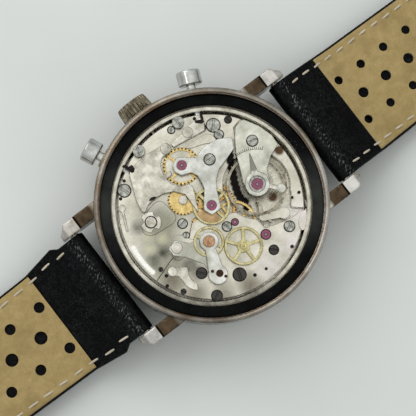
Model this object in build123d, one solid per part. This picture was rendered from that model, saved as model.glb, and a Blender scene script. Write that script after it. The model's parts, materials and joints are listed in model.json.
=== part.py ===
from build123d import *
import os
from math import atan2, cos, degrees, hypot, pi, radians, sin

# Mechanical chronograph wristwatch, lying dial down with its back cover off.
# Frame: origin at the centre of the crystal's outer face, +Z towards the open back,
# +X towards the 12 o'clock strap, +Y towards the crown. Millimetres.

os.makedirs("parts", exist_ok=True)

# ---------------------------------------------------------------- driving sizes
case_radius = 19.3
case_height = 12.2
seat_radius = 18.55
seat_floor = 11.35
groove_radius = 18.35
gasket_inner_radius = 16.45
gasket_floor = 10.6
gasket_top = 11.3
movement_radius = 15.5
movement_gap = 0.22
ring_wall = 0.66
ring_top = 9.9
dial_opening_radius = 14.9
crystal_radius = 17.2
crystal_thickness = 1.5
bezel_radius = 18.7
bezel_bottom = 0.9
case_bottom = 2.8
press_gap = 0.02
run_gap = 0.04
slide_gap = 0.06
soft_gap = 0.2

lug_inside = 20.0
lug_wall = 2.3
lug_tip_x = 22.7
lug_root_x = 14.5

bar_x = 20.75
bar_z = 7.4
bar_radius = 0.75
bar_tip_radius = 0.4
bar_tip_length = 1.2

stem_z = 6.0
stem_radius = 0.45
stem_inner_y = 8.9
crown_radius = 2.87
crown_nose_radius = 2.5
crown_inner_y = 19.75
crown_length = 2.3
crown_pull = 0.8
crown_flutes = 24
crown_tube_radius = 1.3
crown_tube_bore = 1.0

pusher_spread = 28.0
pusher_tilt = 24.0
pusher_polar = 20.45
pusher_z = 7.75
pusher_cap_radius = 2.02
pusher_cap_length = 2.45
pusher_stem_radius = 0.8
pusher_tube_radius = 1.65
pusher_stroke = 0.8
pusher_reach = 5.9
tail_radius = 0.42
tail_gap = 0.2

dial_bottom = 4.2
dial_thickness = 0.35
plate_bottom = 5.3
plate_top = 6.7
bridge_bottom = 8.4
bridge_top = 9.0
chrono_wheel_z = 9.5
chrono_wheel_thickness = 0.22
counter_wheel_z = 9.1
cock_bottom = 10.25
cock_top = 10.8
lever_bottom = 9.06
lever_top = 9.36
hammer_bottom = 9.86
hammer_top = 10.14

# wheel centres
centre_at = (0.0, 0.0)
third_at = (1.5, -4.4)
fourth_at = (0.2, -8.4)
escape_at = (4.3, -9.1)
pallet_at = (5.75, -6.55)
balance_at = (8.05, -1.75)
barrel_at = (-5.2, 4.6)
crown_wheel_at = (-2.0, 9.4)
recorder_at = (0.1, 8.2)
intermediate_at = (-3.1, 3.6)
coupling_at = (-3.9, -4.4)
minute_wheel_at = (-2.9, -2.75)

# lever pivots
hammer_pivot = (-0.3, 11.95)
operating_pivot = (4.25, 12.0)
clutch_pivot = (-8.7, -2.0)
brake_pivot = (-11.6, -4.7)
cam_at = (-9.5, 3.9)

# strap
strap_width = 19.5
strap_end_width = 18.0
strap_taper_start = 30.0
strap_taper_end = 66.0
strap_thick = 2.5
strap_loop_radius = 1.3
lining_thick = 0.8
short_fold_x = 28.7
long_fold_x = 30.8
short_strap_end = 95.0
long_strap_end = 139.0
strap_lift = 1.3
buckle_bar_radius = 0.6
buckle_gap = 0.35
buckle_wall = 1.6
buckle_length = 10.5
keeper_wall = 0.9
keeper_width = 5.0
fixed_keeper_x = 78.0
sliding_keeper_x = 66.0


# ---------------------------------------------------------------- helpers
def disc(radius, bottom, top, at=(0, 0), hole=0.0):
    """Round plate or ring between two heights."""
    low = (Align.CENTER, Align.CENTER, Align.MIN)
    body = Cylinder(radius, top - bottom, align=low)
    if hole:
        body -= Cylinder(hole, top - bottom, align=low)
    return Pos(at[0], at[1], bottom) * body


def rod(radius, start, end):
    """Round bar from one point to another."""
    way = Vector(*end) - Vector(*start)
    plane = Plane(origin=start, z_dir=way)
    return plane * Cylinder(radius, way.length, align=(Align.CENTER, Align.CENTER, Align.MIN))


def block(x, y, z):
    """Box from three (low, high) pairs."""
    size = [high - low for low, high in (x, y, z)]
    middle = [(high + low) / 2 for low, high in (x, y, z)]
    return Pos(*middle) * Box(*size)


def outline(points, corner=0.3):
    """Flat face through the points, with rounded corners."""
    face = make_face(Polyline(*points, close=True))
    return fillet(face.vertices(), corner) if corner else face


def slab(face, bottom, top):
    """Flat face raised to a plate between two heights."""
    return extrude(Pos(0, 0, bottom) * face, top - bottom, dir=(0, 0, 1))


def strip(start, end, width):
    """Flat bar with round ends between two points."""
    way = (end[0] - start[0], end[1] - start[1])
    length = hypot(*way)
    turn = Rotation(0, 0, degrees(atan2(way[1], way[0])))
    middle = Pos((start[0] + end[0]) / 2, (start[1] + end[1]) / 2)
    return middle * turn * SlotCenterToCenter(length, width)


def spot(at, radius):
    return Pos(*at) * Circle(radius)


def polar(radius, angle, about=(0, 0)):
    return (about[0] + radius * cos(radians(angle)), about[1] + radius * sin(radians(angle)))


def toothed(teeth, pitch_radius, height, phase=0.0):
    """Gear outline: one tooth is centred on the phase angle, in radians."""
    points = []
    step = 2 * pi / teeth
    for i in range(teeth):
        middle = phase + i * step
        for share, radius in (
            (-0.27, pitch_radius - height),
            (-0.10, pitch_radius + 0.8 * height),
            (0.10, pitch_radius + 0.8 * height),
            (0.27, pitch_radius - height),
        ):
            angle = middle + share * step
            points.append((radius * cos(angle), radius * sin(angle)))
    return make_face(Polyline(*points, close=True))


def meshed(driver_at, driver_teeth, driver_phase, at, teeth):
    """Phase that sets a wheel's gap on its neighbour's tooth."""
    line = atan2(at[1] - driver_at[1], at[0] - driver_at[0])
    offset = (driver_phase - line) * driver_teeth / (2 * pi)
    return line + pi - (offset + 0.5) * 2 * pi / teeth


def windows(rim, hub, spokes, arm, turn=0.0):
    """The openings between the spokes of a wheel."""
    face = Circle(rim) - Circle(hub)
    for i in range(spokes):
        bar = Pos((rim + hub) / 2, 0) * Rectangle(rim - hub + 1.0, arm)
        face -= Rotation(0, 0, turn + i * 360 / spokes) * bar
    return face


def wheel(at, face, bottom, thickness):
    return slab(Pos(*at) * face, bottom, bottom + thickness)


def screw(at, radius, seat, depth, head=0.28):
    """Slotted screw whose head stands on its seat, with a shank where there is a hole."""
    body = disc(radius, seat, seat + head, at)
    if depth:
        body += disc(radius * 0.5, seat - depth, seat, at)
    slot = Box(2.2 * radius, 0.24 * radius + 0.08, 1.5 * head)
    turn = 37 * at[0] + 61 * at[1]
    return body - Pos(at[0], at[1], seat + head) * Rotation(0, 0, turn) * slot


def save(name, *bodies):
    """Write one node: one body, or a group of separate bodies."""
    solids = [solid for body in bodies for solid in body.solids()]
    shape = solids[0] if len(solids) == 1 else Compound(children=solids)
    export_step(shape, f"parts/{name}.step")


# ---------------------------------------------------------------- shared places
ring_inner_radius = movement_radius + movement_gap
ring_outer_radius = ring_inner_radius + ring_wall
dial_top = dial_bottom + dial_thickness


def pusher_line(side):
    """Axis of a pusher: its cap's inner face and its outward direction."""
    x, y = polar(pusher_polar, 90 - side * pusher_spread)
    tilt = radians(pusher_tilt)
    return Vector(x, y, pusher_z), Vector(side * sin(tilt), cos(tilt), 0)


def tail_at(side):
    """Centre of the lever tail that stands before a pusher's inner tip."""
    foot, way = pusher_line(side)
    place = foot - way * (pusher_reach + tail_radius + tail_gap)
    return place.X, place.Y


def tail_slot(side):
    """Slot through a bridge for the tail's travel."""
    x, y = tail_at(side)
    return strip((x, y + 0.1), (x - side * 0.15, y - pusher_stroke - 0.15), 2 * tail_radius + 0.3)


def along_pusher(side, radius, start, end):
    """Round bar on a pusher's axis, by distance out from the cap's inner face."""
    foot, way = pusher_line(side)
    return rod(radius, tuple(foot + way * start), tuple(foot + way * end))


# ---------------------------------------------------------------- case
def make_lug(x_side, y_side):
    """Bent lug with a bevelled tip and a blind hole for the spring bar."""
    inner, outer = lug_inside / 2, lug_inside / 2 + lug_wall
    side_view = [
        (lug_root_x, 4.4), (18.6, 4.6), (21.4, 5.6), (lug_tip_x, 7.0),
        (lug_tip_x, 9.0), (21.6, 10.1), (18.8, 10.4), (lug_root_x, 10.4),
    ]
    profile = Plane.XZ * make_face(Polyline(*side_view, close=True))
    bar = extrude(profile, outer - inner, dir=(0, 1, 0))
    bar = Pos(0, inner, 0) * bar
    plan = [
        (lug_root_x, inner), (lug_tip_x, inner), (lug_tip_x, inner + 0.9),
        (lug_tip_x - 1.5, outer), (lug_root_x, outer),
    ]
    bar &= slab(make_face(Polyline(*plan, close=True)), 0, case_height)
    bar -= rod(bar_tip_radius + run_gap, (bar_x, inner - 1, bar_z), (bar_x, inner + bar_tip_length, bar_z))
    if y_side < 0:
        bar = mirror(bar, Plane.XZ)
    if x_side < 0:
        bar = mirror(bar, Plane.YZ)
    return bar


def make_case():
    """Middle of the case, with lugs, stepped bore, gasket seat and tube holes."""
    body = disc(case_radius, case_bottom, case_height)
    body = chamfer(body.edges().group_by(Axis.Z)[-1], 0.35)
    body = chamfer(body.edges().group_by(Axis.Z)[0], 0.8)
    for x_side in (1, -1):
        for y_side in (1, -1):
            body += make_lug(x_side, y_side)
    body -= disc(dial_opening_radius, 0, case_height)
    body -= disc(ring_outer_radius + press_gap, dial_bottom, case_height)
    body -= disc(gasket_inner_radius, gasket_floor, case_height)
    body -= disc(groove_radius, gasket_floor, case_height)
    body -= disc(seat_radius, seat_floor, case_height)
    body -= rod(crown_tube_radius, (0, ring_inner_radius, stem_z), (0, case_radius + 1, stem_z))
    for side in (1, -1):
        body -= along_pusher(side, pusher_tube_radius, -pusher_reach, 2)
    return body


def make_bezel():
    """Polished bezel around the crystal."""
    body = disc(bezel_radius, bezel_bottom, case_bottom)
    body = chamfer(body.edges().group_by(Axis.Z)[0], 0.9)
    body -= disc(crystal_radius + press_gap, 0, case_bottom)
    body += disc(crystal_radius + 0.1, crystal_thickness + 0.02, case_bottom, hole=dial_opening_radius)
    return body


def make_crystal():
    """Flat crystal with a rounded shoulder; its outer face is the resting face."""
    body = disc(crystal_radius, 0, crystal_thickness)
    return fillet(body.edges().group_by(Axis.Z)[0], 0.5)


def make_gasket():
    """Flat rubber seal for the back cover."""
    body = disc(groove_radius - 0.03, gasket_floor, gasket_top, hole=gasket_inner_radius + 0.03)
    return fillet(body.edges().group_by(Axis.Z)[-1], 0.25)


def make_movement_ring():
    """Spacer that centres the movement in the case."""
    body = disc(ring_outer_radius, dial_top, ring_top, hole=ring_inner_radius)
    body -= rod(stem_radius + 0.3, (0, 10, stem_z), (0, 20, stem_z))
    for side in (1, -1):
        body -= along_pusher(side, pusher_stem_radius + 0.2, -12, 0)
    return body


def tube_start():
    """Distance along a pusher's axis at which its tube meets the spacer's pocket."""
    return -(pusher_polar - ring_outer_radius - 0.55)


def make_pusher_tube(side):
    """Brass tube that guides a pusher; its neck shows under the cap."""
    body = along_pusher(side, pusher_tube_radius, tube_start(), -pusher_stroke - 0.05)
    return body - along_pusher(side, pusher_stem_radius + slide_gap, -pusher_reach, 1)


def make_crown_tube():
    """Tube that guides the winding stem."""
    ends = (0, ring_outer_radius + 0.3, stem_z), (0, crown_inner_y - 0.15, stem_z)
    return rod(crown_tube_radius, *ends) - rod(crown_tube_bore, *ends)


# ---------------------------------------------------------------- keyless work
def make_crown():
    """Fluted crown with a domed end and a hollow that clears its tube."""
    height = crown_length
    face = toothed(crown_flutes, crown_radius - 0.16, 0.16)
    body = extrude(face, height, taper=4.0)
    body = Plane(origin=(0, crown_inner_y, stem_z), z_dir=(0, 1, 0)) * body
    dome_radius = 9.0
    middle = crown_inner_y + height + 0.25 - dome_radius
    body &= Pos(0, middle, stem_z) * Sphere(dome_radius)
    hollow_end = crown_inner_y + 1.2
    body -= rod(crown_tube_radius + 0.15, (0, crown_inner_y - 1, stem_z), (0, hollow_end, stem_z))
    return body


def make_stem():
    """Winding stem, square inside the winding pinion."""
    start = (0, stem_inner_y, stem_z)
    end = (0, crown_inner_y + 1.2, stem_z)
    body = rod(stem_radius, start, end)
    return body + rod(crown_tube_bore - run_gap, (0, 17.6, stem_z), (0, crown_inner_y + 1.2, stem_z))


winding_pinion_y = (9.7, 11.2)
winding_pinion_radius = 0.8


def make_winding_pinion():
    """Toothed pinion that the stem slides through."""
    low, high = winding_pinion_y
    face = toothed(12, winding_pinion_radius - 0.1, 0.09) - Circle(stem_radius + run_gap)
    return Plane(origin=(0, low, stem_z), z_dir=(0, 1, 0)) * extrude(face, high - low)


ratchet_bottom = plate_top + 0.15
ratchet_thickness = 0.25
ratchet_teeth = 42
crown_wheel_teeth = 26
winding_module = hypot(barrel_at[0] - crown_wheel_at[0], barrel_at[1] - crown_wheel_at[1]) * 2 / (
    ratchet_teeth + crown_wheel_teeth
)


def make_ratchet():
    face = toothed(ratchet_teeth, winding_module * ratchet_teeth / 2, 0.13)
    return wheel(barrel_at, face - Circle(barrel_arbor_radius + press_gap), ratchet_bottom, ratchet_thickness)


def make_crown_wheel():
    phase = meshed(barrel_at, ratchet_teeth, 0, crown_wheel_at, crown_wheel_teeth)
    face = toothed(crown_wheel_teeth, winding_module * crown_wheel_teeth / 2, 0.13, phase)
    return wheel(crown_wheel_at, face - Circle(0.6 + run_gap), ratchet_bottom, ratchet_thickness)


def make_click():
    """Click beside the ratchet teeth, with its wire spring."""
    reach = winding_module * ratchet_teeth / 2 + 0.4
    nose = polar(reach, 200, barrel_at)
    heel = polar(reach + 1.6, 224, barrel_at)
    body = slab(strip(nose, heel, 0.7) + spot(heel, 0.6), ratchet_bottom, ratchet_bottom + ratchet_thickness)
    body += disc(0.3, plate_top, ratchet_bottom, heel)
    tail = polar(reach + 1.5, 262, barrel_at)
    spring = strip((heel[0] + 0.95, heel[1] - 0.35), tail, 0.18)
    return body, slab(spring, plate_top, ratchet_bottom + ratchet_thickness)


# ---------------------------------------------------------------- going train
barrel_arbor_radius = 0.7
barrel_bottom = 7.2
barrel_height = 0.95
barrel_teeth, centre_pinion = 72, 12
centre_teeth, third_pinion = 80, 10
third_teeth, fourth_pinion = 75, 10
fourth_teeth, escape_pinion = 70, 7
centre_wheel_z = 8.2
centre_boss_radius = 0.75
third_wheel_z = 7.5
fourth_wheel_z = 7.0
escape_wheel_z = 7.85
arbor_radius = 0.16
hollow_radius = 0.42


def module(first, second, teeth_a, teeth_b):
    """Tooth size that brings two wheels together at their centres."""
    return 2 * hypot(first[0] - second[0], first[1] - second[1]) / (teeth_a + teeth_b)


barrel_module = module(barrel_at, centre_at, barrel_teeth, centre_pinion)
centre_module = module(centre_at, third_at, centre_teeth, third_pinion)
third_module = module(third_at, fourth_at, third_teeth, fourth_pinion)
fourth_module = module(fourth_at, escape_at, fourth_teeth, escape_pinion)
barrel_phase = 0.0
centre_pinion_phase = meshed(barrel_at, barrel_teeth, barrel_phase, centre_at, centre_pinion)
third_pinion_phase = meshed(centre_at, centre_teeth, 0, third_at, third_pinion)
fourth_pinion_phase = meshed(third_at, third_teeth, 0, fourth_at, fourth_pinion)
escape_pinion_phase = meshed(fourth_at, fourth_teeth, 0, escape_at, escape_pinion)


def pinion(at, teeth, size, phase, bottom, height):
    return wheel(at, toothed(teeth, size * teeth / 2, size * 0.8, phase), bottom, height)


def make_barrel():
    """Toothed drum with a lid; the mainspring lies inside."""
    pitch = barrel_module * barrel_teeth / 2
    rim = toothed(barrel_teeth, pitch, 0.13, barrel_phase)
    body = wheel(barrel_at, rim, barrel_bottom, 0.3)
    body += disc(pitch - 0.5, barrel_bottom, barrel_bottom + barrel_height, barrel_at)
    body -= disc(pitch - 0.8, barrel_bottom + 0.2, barrel_bottom + barrel_height - 0.12, barrel_at)
    return body - disc(barrel_arbor_radius + run_gap, barrel_bottom, bridge_top, barrel_at)


def make_barrel_arbor():
    """Arbor through barrel and ratchet, with a collar for the mainspring."""
    body = disc(barrel_arbor_radius, plate_top + 0.1, bridge_bottom - 0.05, barrel_at)
    low = barrel_bottom + 0.25
    return body + disc(1.2, low, barrel_bottom + barrel_height - 0.17, barrel_at)


def make_mainspring():
    """Coiled power spring, drawn as nested turns."""
    outer = barrel_module * barrel_teeth / 2 - 0.85
    low = barrel_bottom + 0.25
    top = barrel_bottom + barrel_height - 0.17
    turns = [disc(outer - 0.42 * i, low, top, barrel_at, hole=outer - 0.42 * i - 0.25) for i in range(7)]
    return turns


def make_centre_wheel():
    """Centre wheel on a hollow arbor, with the barrel's pinion."""
    pitch = centre_module * centre_teeth / 2
    face = toothed(centre_teeth, pitch, centre_module * 0.8) - windows(pitch - 0.5, 1.1, 5, 0.5)
    body = wheel(centre_at, face, centre_wheel_z, 0.2)
    body += pinion(centre_at, centre_pinion, barrel_module, centre_pinion_phase, barrel_bottom, 0.35)
    body += disc(centre_boss_radius, plate_top + 0.1, centre_wheel_z + 0.35)
    body += disc(0.62, cannon_bottom, plate_top + 0.1)
    return body - disc(hollow_radius, 0, 20)


def make_third_wheel():
    pitch = third_module * third_teeth / 2
    face = toothed(third_teeth, pitch, third_module * 0.8) - windows(pitch - 0.45, 0.7, 4, 0.4)
    body = wheel(third_at, face, third_wheel_z, 0.18)
    body += pinion(third_at, third_pinion, centre_module, third_pinion_phase, centre_wheel_z - 0.15, 0.34)
    return body + disc(arbor_radius, plate_top, bridge_bottom + 0.3, third_at) + disc(0.28, 7.0, 8.1, third_at)


def make_fourth_wheel():
    """Fourth wheel; its long arbor carries the seconds hand and the driving wheel."""
    pitch = fourth_module * fourth_teeth / 2
    face = toothed(fourth_teeth, pitch, fourth_module * 0.8) - windows(pitch - 0.45, 0.7, 4, 0.4, 20)
    body = wheel(fourth_at, face, fourth_wheel_z, 0.18)
    body += pinion(fourth_at, fourth_pinion, third_module, fourth_pinion_phase, third_wheel_z - 0.1, 0.4)
    body += disc(0.3, plate_top + 0.1, third_wheel_z, fourth_at)
    return body + disc(arbor_radius, counter_hand_z - 0.05, chrono_wheel_z + 0.65, fourth_at)


def make_escape_wheel():
    """Escape wheel with fifteen slanted teeth."""
    points = []
    for i in range(15):
        points += [polar(1.55, i * 24), polar(2.2, i * 24 + 10), polar(2.2, i * 24 + 12.5), polar(1.6, i * 24 + 13)]
    face = make_face(Polyline(*points, close=True)) - windows(1.3, 0.5, 4, 0.3)
    body = wheel(escape_at, face, escape_wheel_z, 0.15)
    body += pinion(escape_at, escape_pinion, fourth_module, escape_pinion_phase, fourth_wheel_z - 0.1, 0.4)
    return body + disc(arbor_radius, plate_top, bridge_bottom + 0.3, escape_at)


def make_pallet_fork():
    """Pallet fork; its stones stay just clear of the escape wheel."""
    line = degrees(atan2(balance_at[1] - pallet_at[1], balance_at[0] - pallet_at[0]))
    notch_end = polar(4.7, line, pallet_at)
    back = degrees(atan2(escape_at[1] - pallet_at[1], escape_at[0] - pallet_at[0]))
    left = polar(1.5, back - 58, pallet_at)
    right = polar(1.5, back + 58, pallet_at)
    face = strip(pallet_at, notch_end, 0.34) + strip(pallet_at, left, 0.4) + strip(pallet_at, right, 0.4)
    face += spot(pallet_at, 0.4)
    face += strip(polar(0.42, line + 100, notch_end), polar(0.42, line - 100, notch_end), 0.25)
    body = slab(face, escape_wheel_z, escape_wheel_z + 0.15)
    return body + disc(arbor_radius, plate_top, bridge_bottom + 0.25, pallet_at)


def make_pallet_cock():
    """Small cock over the pallet arbor."""
    far = (8.9, -8.1)
    face = strip(pallet_at, far, 1.4) + spot(far, 1.0)
    body = slab(face, bridge_bottom, bridge_top - 0.2) + disc(0.7, plate_top, bridge_bottom, far)
    return body - disc(arbor_radius + run_gap, bridge_bottom, bridge_bottom + 0.3, pallet_at)


# ---------------------------------------------------------------- balance
balance_radius = 5.1
balance_rim = 0.55
balance_bottom = 9.1
balance_thickness = 0.4
hairspring_z = 9.72
balance_opening = 5.6


def make_balance():
    """Plain balance with two arms, staff, roller and timing screws."""
    face = Circle(balance_radius - 0.12) - windows(balance_radius - balance_rim, 0.8, 2, 0.65, 62)
    body = wheel(balance_at, face, balance_bottom, balance_thickness)
    body += disc(0.32, 7.3, cock_bottom - 0.05, balance_at)
    body += disc(arbor_radius, plate_top, cock_bottom + 0.25, balance_at)
    body += disc(0.5, balance_bottom - 0.6, balance_bottom, balance_at)
    middle = balance_bottom + balance_thickness / 2
    for i in range(12):
        angle = 62 + 15 + i * 30
        inner = polar(balance_radius - 0.2, angle, balance_at)
        outer = polar(balance_radius + 0.1, angle, balance_at)
        body += rod(0.15, (*inner, middle), (*outer, middle))
    return body


def make_hairspring():
    """Flat spiral spring, held by the cock's stud and clear of the staff."""
    turns, inner, outer, half_width = 9, 0.62, stud_radius, 0.035
    steps = 24 * turns
    path = [(inner + (outer - inner) * i / steps, stud_angle + 360 * turns * i / steps) for i in range(steps + 1)]
    outside = [polar(radius + half_width, angle) for radius, angle in path]
    inside = [polar(radius - half_width, angle) for radius, angle in reversed(path)]
    ribbon = make_face(Polyline(*outside, *inside, close=True))
    return wheel(balance_at, ribbon, hairspring_z, 0.16)


stud_angle = -47.0
stud_radius = 2.9


def make_stud_carrier():
    """Arm under the cock with the stud that pins the hairspring's outer end."""
    stud = polar(stud_radius + 0.16, stud_angle, balance_at)
    tip = polar(4.0, stud_angle, balance_at)
    ring = spot(balance_at, 2.05) - spot(balance_at, 1.45)
    face = ring + strip(polar(1.9, stud_angle, balance_at), tip, 0.75) + spot(tip, 0.75)
    body = slab(face, cock_top, cock_top + 0.16)
    return body + disc(0.13, hairspring_z - 0.05, cock_top, stud)


def make_regulator():
    """Index ring with a tapering pointer for setting the rate."""
    tip = polar(5.2, 66, balance_at)
    left = polar(1.9, 84, balance_at)
    right = polar(1.9, 48, balance_at)
    low = cock_top + 0.19
    face = spot(balance_at, 2.0) - spot(balance_at, 1.35)
    face += make_face(Polyline(left, polar(5.2, 67.5, balance_at), tip, right, close=True))
    return slab(face, low, low + 0.14)


def cock_outline():
    points = [
        (12.7, 8.2), (11.0, 7.9), (9.7, 6.45), (8.4, 4.4), (7.2, 1.65), (6.35, -0.2),
        (6.1, -2.1), (7.2, -3.5), (8.9, -3.7), (10.1, -2.4), (10.9, -0.7), (12.7, 0.6), (14.8, 1.4),
        (14.9, 3.2), (14.2, 5.6),
    ]
    return outline(points, 0.35)


cock_screw_at = (11.75, 4.4)


def make_balance_cock():
    """Cock over the balance; its foot stands on the main plate outside the balance."""
    points = [(12.7, 8.1), (11.1, 7.8), (10.3, 6.0), (10.4, 4.9), (13.4, 2.6), (14.8, 1.8), (14.2, 5.5)]
    foot = outline(points, 0.25)
    body = slab(cock_outline(), cock_bottom, cock_top)
    body += slab(foot - spot(balance_at, balance_opening + 0.2), plate_top, cock_bottom)
    body -= disc(arbor_radius + run_gap, cock_bottom, cock_bottom + 0.3, balance_at)
    body -= disc(0.95, cock_top - 0.22, cock_top, balance_at)
    return body - disc(0.5, plate_top, cock_top, cock_screw_at)


# ---------------------------------------------------------------- plates and bridges
def stem_channel():
    """Slot for the stem and pocket for the winding pinion."""
    body = block((-0.65, 0.65), (stem_inner_y - 0.3, 20), (stem_z - 0.6, plate_top + 0.6))
    low, high = winding_pinion_y
    wide = winding_pinion_radius + 0.15
    return body + block((-wide, wide), (low - 0.15, high + 0.15), (plate_bottom, plate_top + 0.6))


def make_main_plate():
    """Base of the movement: wheels above, motion work and dial below."""
    body = disc(movement_radius, plate_bottom, plate_top)
    body += disc(movement_radius, dial_top + 0.02, plate_bottom, hole=movement_radius - 1.0)
    body -= stem_channel()
    for at, radius in (
        (centre_at, 0.62 + run_gap), (fourth_at, arbor_radius + run_gap), (recorder_at, 0.2 + run_gap),
    ):
        body -= disc(radius, plate_bottom, plate_top, at)
    ledge = outline([(13.2, 0.9), (16.5, 1.6), (16.5, -9.4), (11.9, -9.3), (10.4, -8.0), (12.0, -6.0)], 0.3)
    ledge &= Circle(movement_radius - 0.25)
    return body + slab(ledge - spot(balance_at, balance_opening), plate_top, ledge_top)


ledge_top = 8.6
barrel_bridge_screws = [(-9.8, 10.7), (-4.0, 12.9), (-12.1, 2.4)]
train_bridge_screws = [(-3.4, -12.1), (4.6, -12.9), (-7.9, -7.75)]
train_post_radius = 0.8


seam = [(-16.6, -5.0), (-10.6, -3.0), (-6.9, -2.6), (-2.6, 1.2)]
seam_gap = 0.06


def make_barrel_bridge():
    """Bridge over barrel and winding wheels, cut back from the wheels in the middle."""
    face = Circle(movement_radius - 0.25)
    face -= Pos(0, -8.0) * Rectangle(40, 16.2)
    face += make_face(Polyline(*seam, (-2.6, 3.0), (-16.6, 3.0), close=True))
    face &= Circle(movement_radius - 0.25)
    face -= spot(balance_at, balance_opening)
    face -= spot(centre_at, 2.6)
    foot_clearance = [
        (8.0, 2.2), (9.95, 4.9), (9.95, 6.2), (10.8, 8.15), (12.9, 8.6), (17.5, 7.5), (17.5, 0.0), (8.0, 0.0),
    ]
    face -= outline(foot_clearance, 0.3)
    face -= tail_slot(1) + tail_slot(-1)
    body = slab(face, bridge_bottom, bridge_top)
    for at in barrel_bridge_screws + [(4.4, 9.6)]:
        body += disc(1.1, plate_top, bridge_bottom, at)
    for side in (1, -1):
        body -= along_pusher(side, pusher_stem_radius + 0.25, -12, 0)
    body -= disc(recorder_pivot_radius, bridge_bottom, bridge_top, recorder_at)
    return body - disc(barrel_arbor_radius + run_gap, bridge_bottom, bridge_bottom + 0.2, barrel_at)


recorder_pivot_radius = 0.2 + run_gap


def make_train_bridge():
    """Bridge over the train, open round the balance and the middle."""
    face = Circle(movement_radius - 0.25)
    face -= Pos(0, 7.7) * Rectangle(40, 16.0)
    lowered = [(x, y - seam_gap) for x, y in seam]
    face -= make_face(Polyline(*lowered, (0, 2), (0, 6), (-16.6, 6), close=True))
    face -= spot(centre_at, centre_boss_radius + run_gap)
    face -= spot(balance_at, balance_opening)
    face -= outline([(0.6, 1.0), (0.6, -2.3), (3.0, -3.4), (5.2, -3.4), (6.0, 1.0)], 0.4)
    side_opening = [(4.6, -6.0), (4.9, -8.2), (8.2, -9.3), (11.9, -9.7), (17.0, -10.3), (17.0, 0.5), (8.0, 0.5)]
    face -= outline(side_opening, 0.4)
    body = slab(face, bridge_bottom, bridge_top)
    for at in train_bridge_screws:
        body += disc(train_post_radius, plate_top, bridge_bottom, at)
    for at in (third_at, fourth_at, escape_at):
        body -= disc(arbor_radius + run_gap, bridge_bottom, bridge_top, at)
    return body


chrono_bridge_screw_at = (4.3, 6.2)


def make_chrono_bridge():
    """Curved bridge that carries the chronograph runner and the minute recorder."""
    points = [
        (-1.2, 9.0), (0.2, 9.7), (1.6, 8.75), (2.7, 7.8), (4.85, 8.4), (7.4, 8.1), (9.5, 6.9), (8.6, 5.2),
        (7.0, 4.7), (4.6, 4.0), (3.3, 3.0), (2.3, 1.65), (1.6, 0.1), (0.9, -1.3), (-0.9, -1.3), (-1.5, 0.2),
        (-0.4, 1.6), (0.7, 2.9), (1.0, 4.1), (1.15, 5.3), (0.6, 6.35), (-0.9, 6.9), (-1.45, 8.0),
    ]
    body = slab(outline(points, 0.4), cock_bottom, cock_top)
    body += disc(1.0, bridge_top, cock_bottom, chrono_bridge_screw_at)
    body += disc(0.8, bridge_top, cock_bottom, (7.9, 6.9))
    body -= disc(arbor_radius + run_gap, cock_bottom, cock_bottom + 0.3, centre_at)
    body -= disc(arbor_radius + run_gap, cock_bottom, cock_bottom + 0.3, recorder_at)
    for at in (centre_at, recorder_at):
        body -= disc(0.8 + press_gap, cock_top - 0.2, cock_top, at)
    return body - disc(0.5, bridge_top, cock_top, chrono_bridge_screw_at)


def make_jewels():
    """Pivot jewels: two in the chronograph bridge, the rest in bridges and cocks."""
    seats = [(centre_at, cock_top, 0.8), (recorder_at, cock_top, 0.8), (balance_at, cock_top, 0.95)]
    jewels = [disc(radius - press_gap, top - 0.2, top + 0.02, at) for at, top, radius in seats]
    jewels.append(disc(0.75, bridge_top, bridge_top + 0.12, escape_at))
    jewels.append(disc(0.5, bridge_top, bridge_top + 0.12, third_at))
    return jewels


# ---------------------------------------------------------------- chronograph work
driving_teeth, coupling_teeth, runner_teeth = 100, 80, 96
recorder_teeth, intermediate_teeth = 60, 48
coupling_module = module(fourth_at, coupling_at, driving_teeth, coupling_teeth)
counter_module = module(recorder_at, intermediate_at, recorder_teeth, intermediate_teeth)
runner_radius = 3.1
fine_tooth = 0.055


def make_driving_wheel():
    """Five-spoked wheel on the fourth arbor, above the train bridge."""
    pitch = coupling_module * driving_teeth / 2
    face = toothed(driving_teeth, pitch, fine_tooth) - windows(pitch - 0.42, 1.05, 5, 0.5, 55)
    body = wheel(fourth_at, face, chrono_wheel_z, chrono_wheel_thickness)
    body += disc(0.55, chrono_wheel_z - 0.25, chrono_wheel_z + 0.45, fourth_at)
    return body - disc(arbor_radius + press_gap, 9, 11, fourth_at)


def make_coupling_wheel():
    """Wheel that the clutch carries between driving wheel and runner."""
    pitch = coupling_module * coupling_teeth / 2
    phase = meshed(fourth_at, driving_teeth, 0, coupling_at, coupling_teeth)
    face = toothed(coupling_teeth, pitch, fine_tooth, phase) - windows(pitch - 0.4, 0.8, 4, 0.4, 30)
    body = wheel(coupling_at, face, chrono_wheel_z, chrono_wheel_thickness)
    return body + disc(arbor_radius, lever_top + 0.02, clutch_head_bottom + 0.3, coupling_at)


clutch_head_bottom = 9.95
clutch_head_top = 10.4
clutch_foot_at = (-6.0, -9.6)


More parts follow.
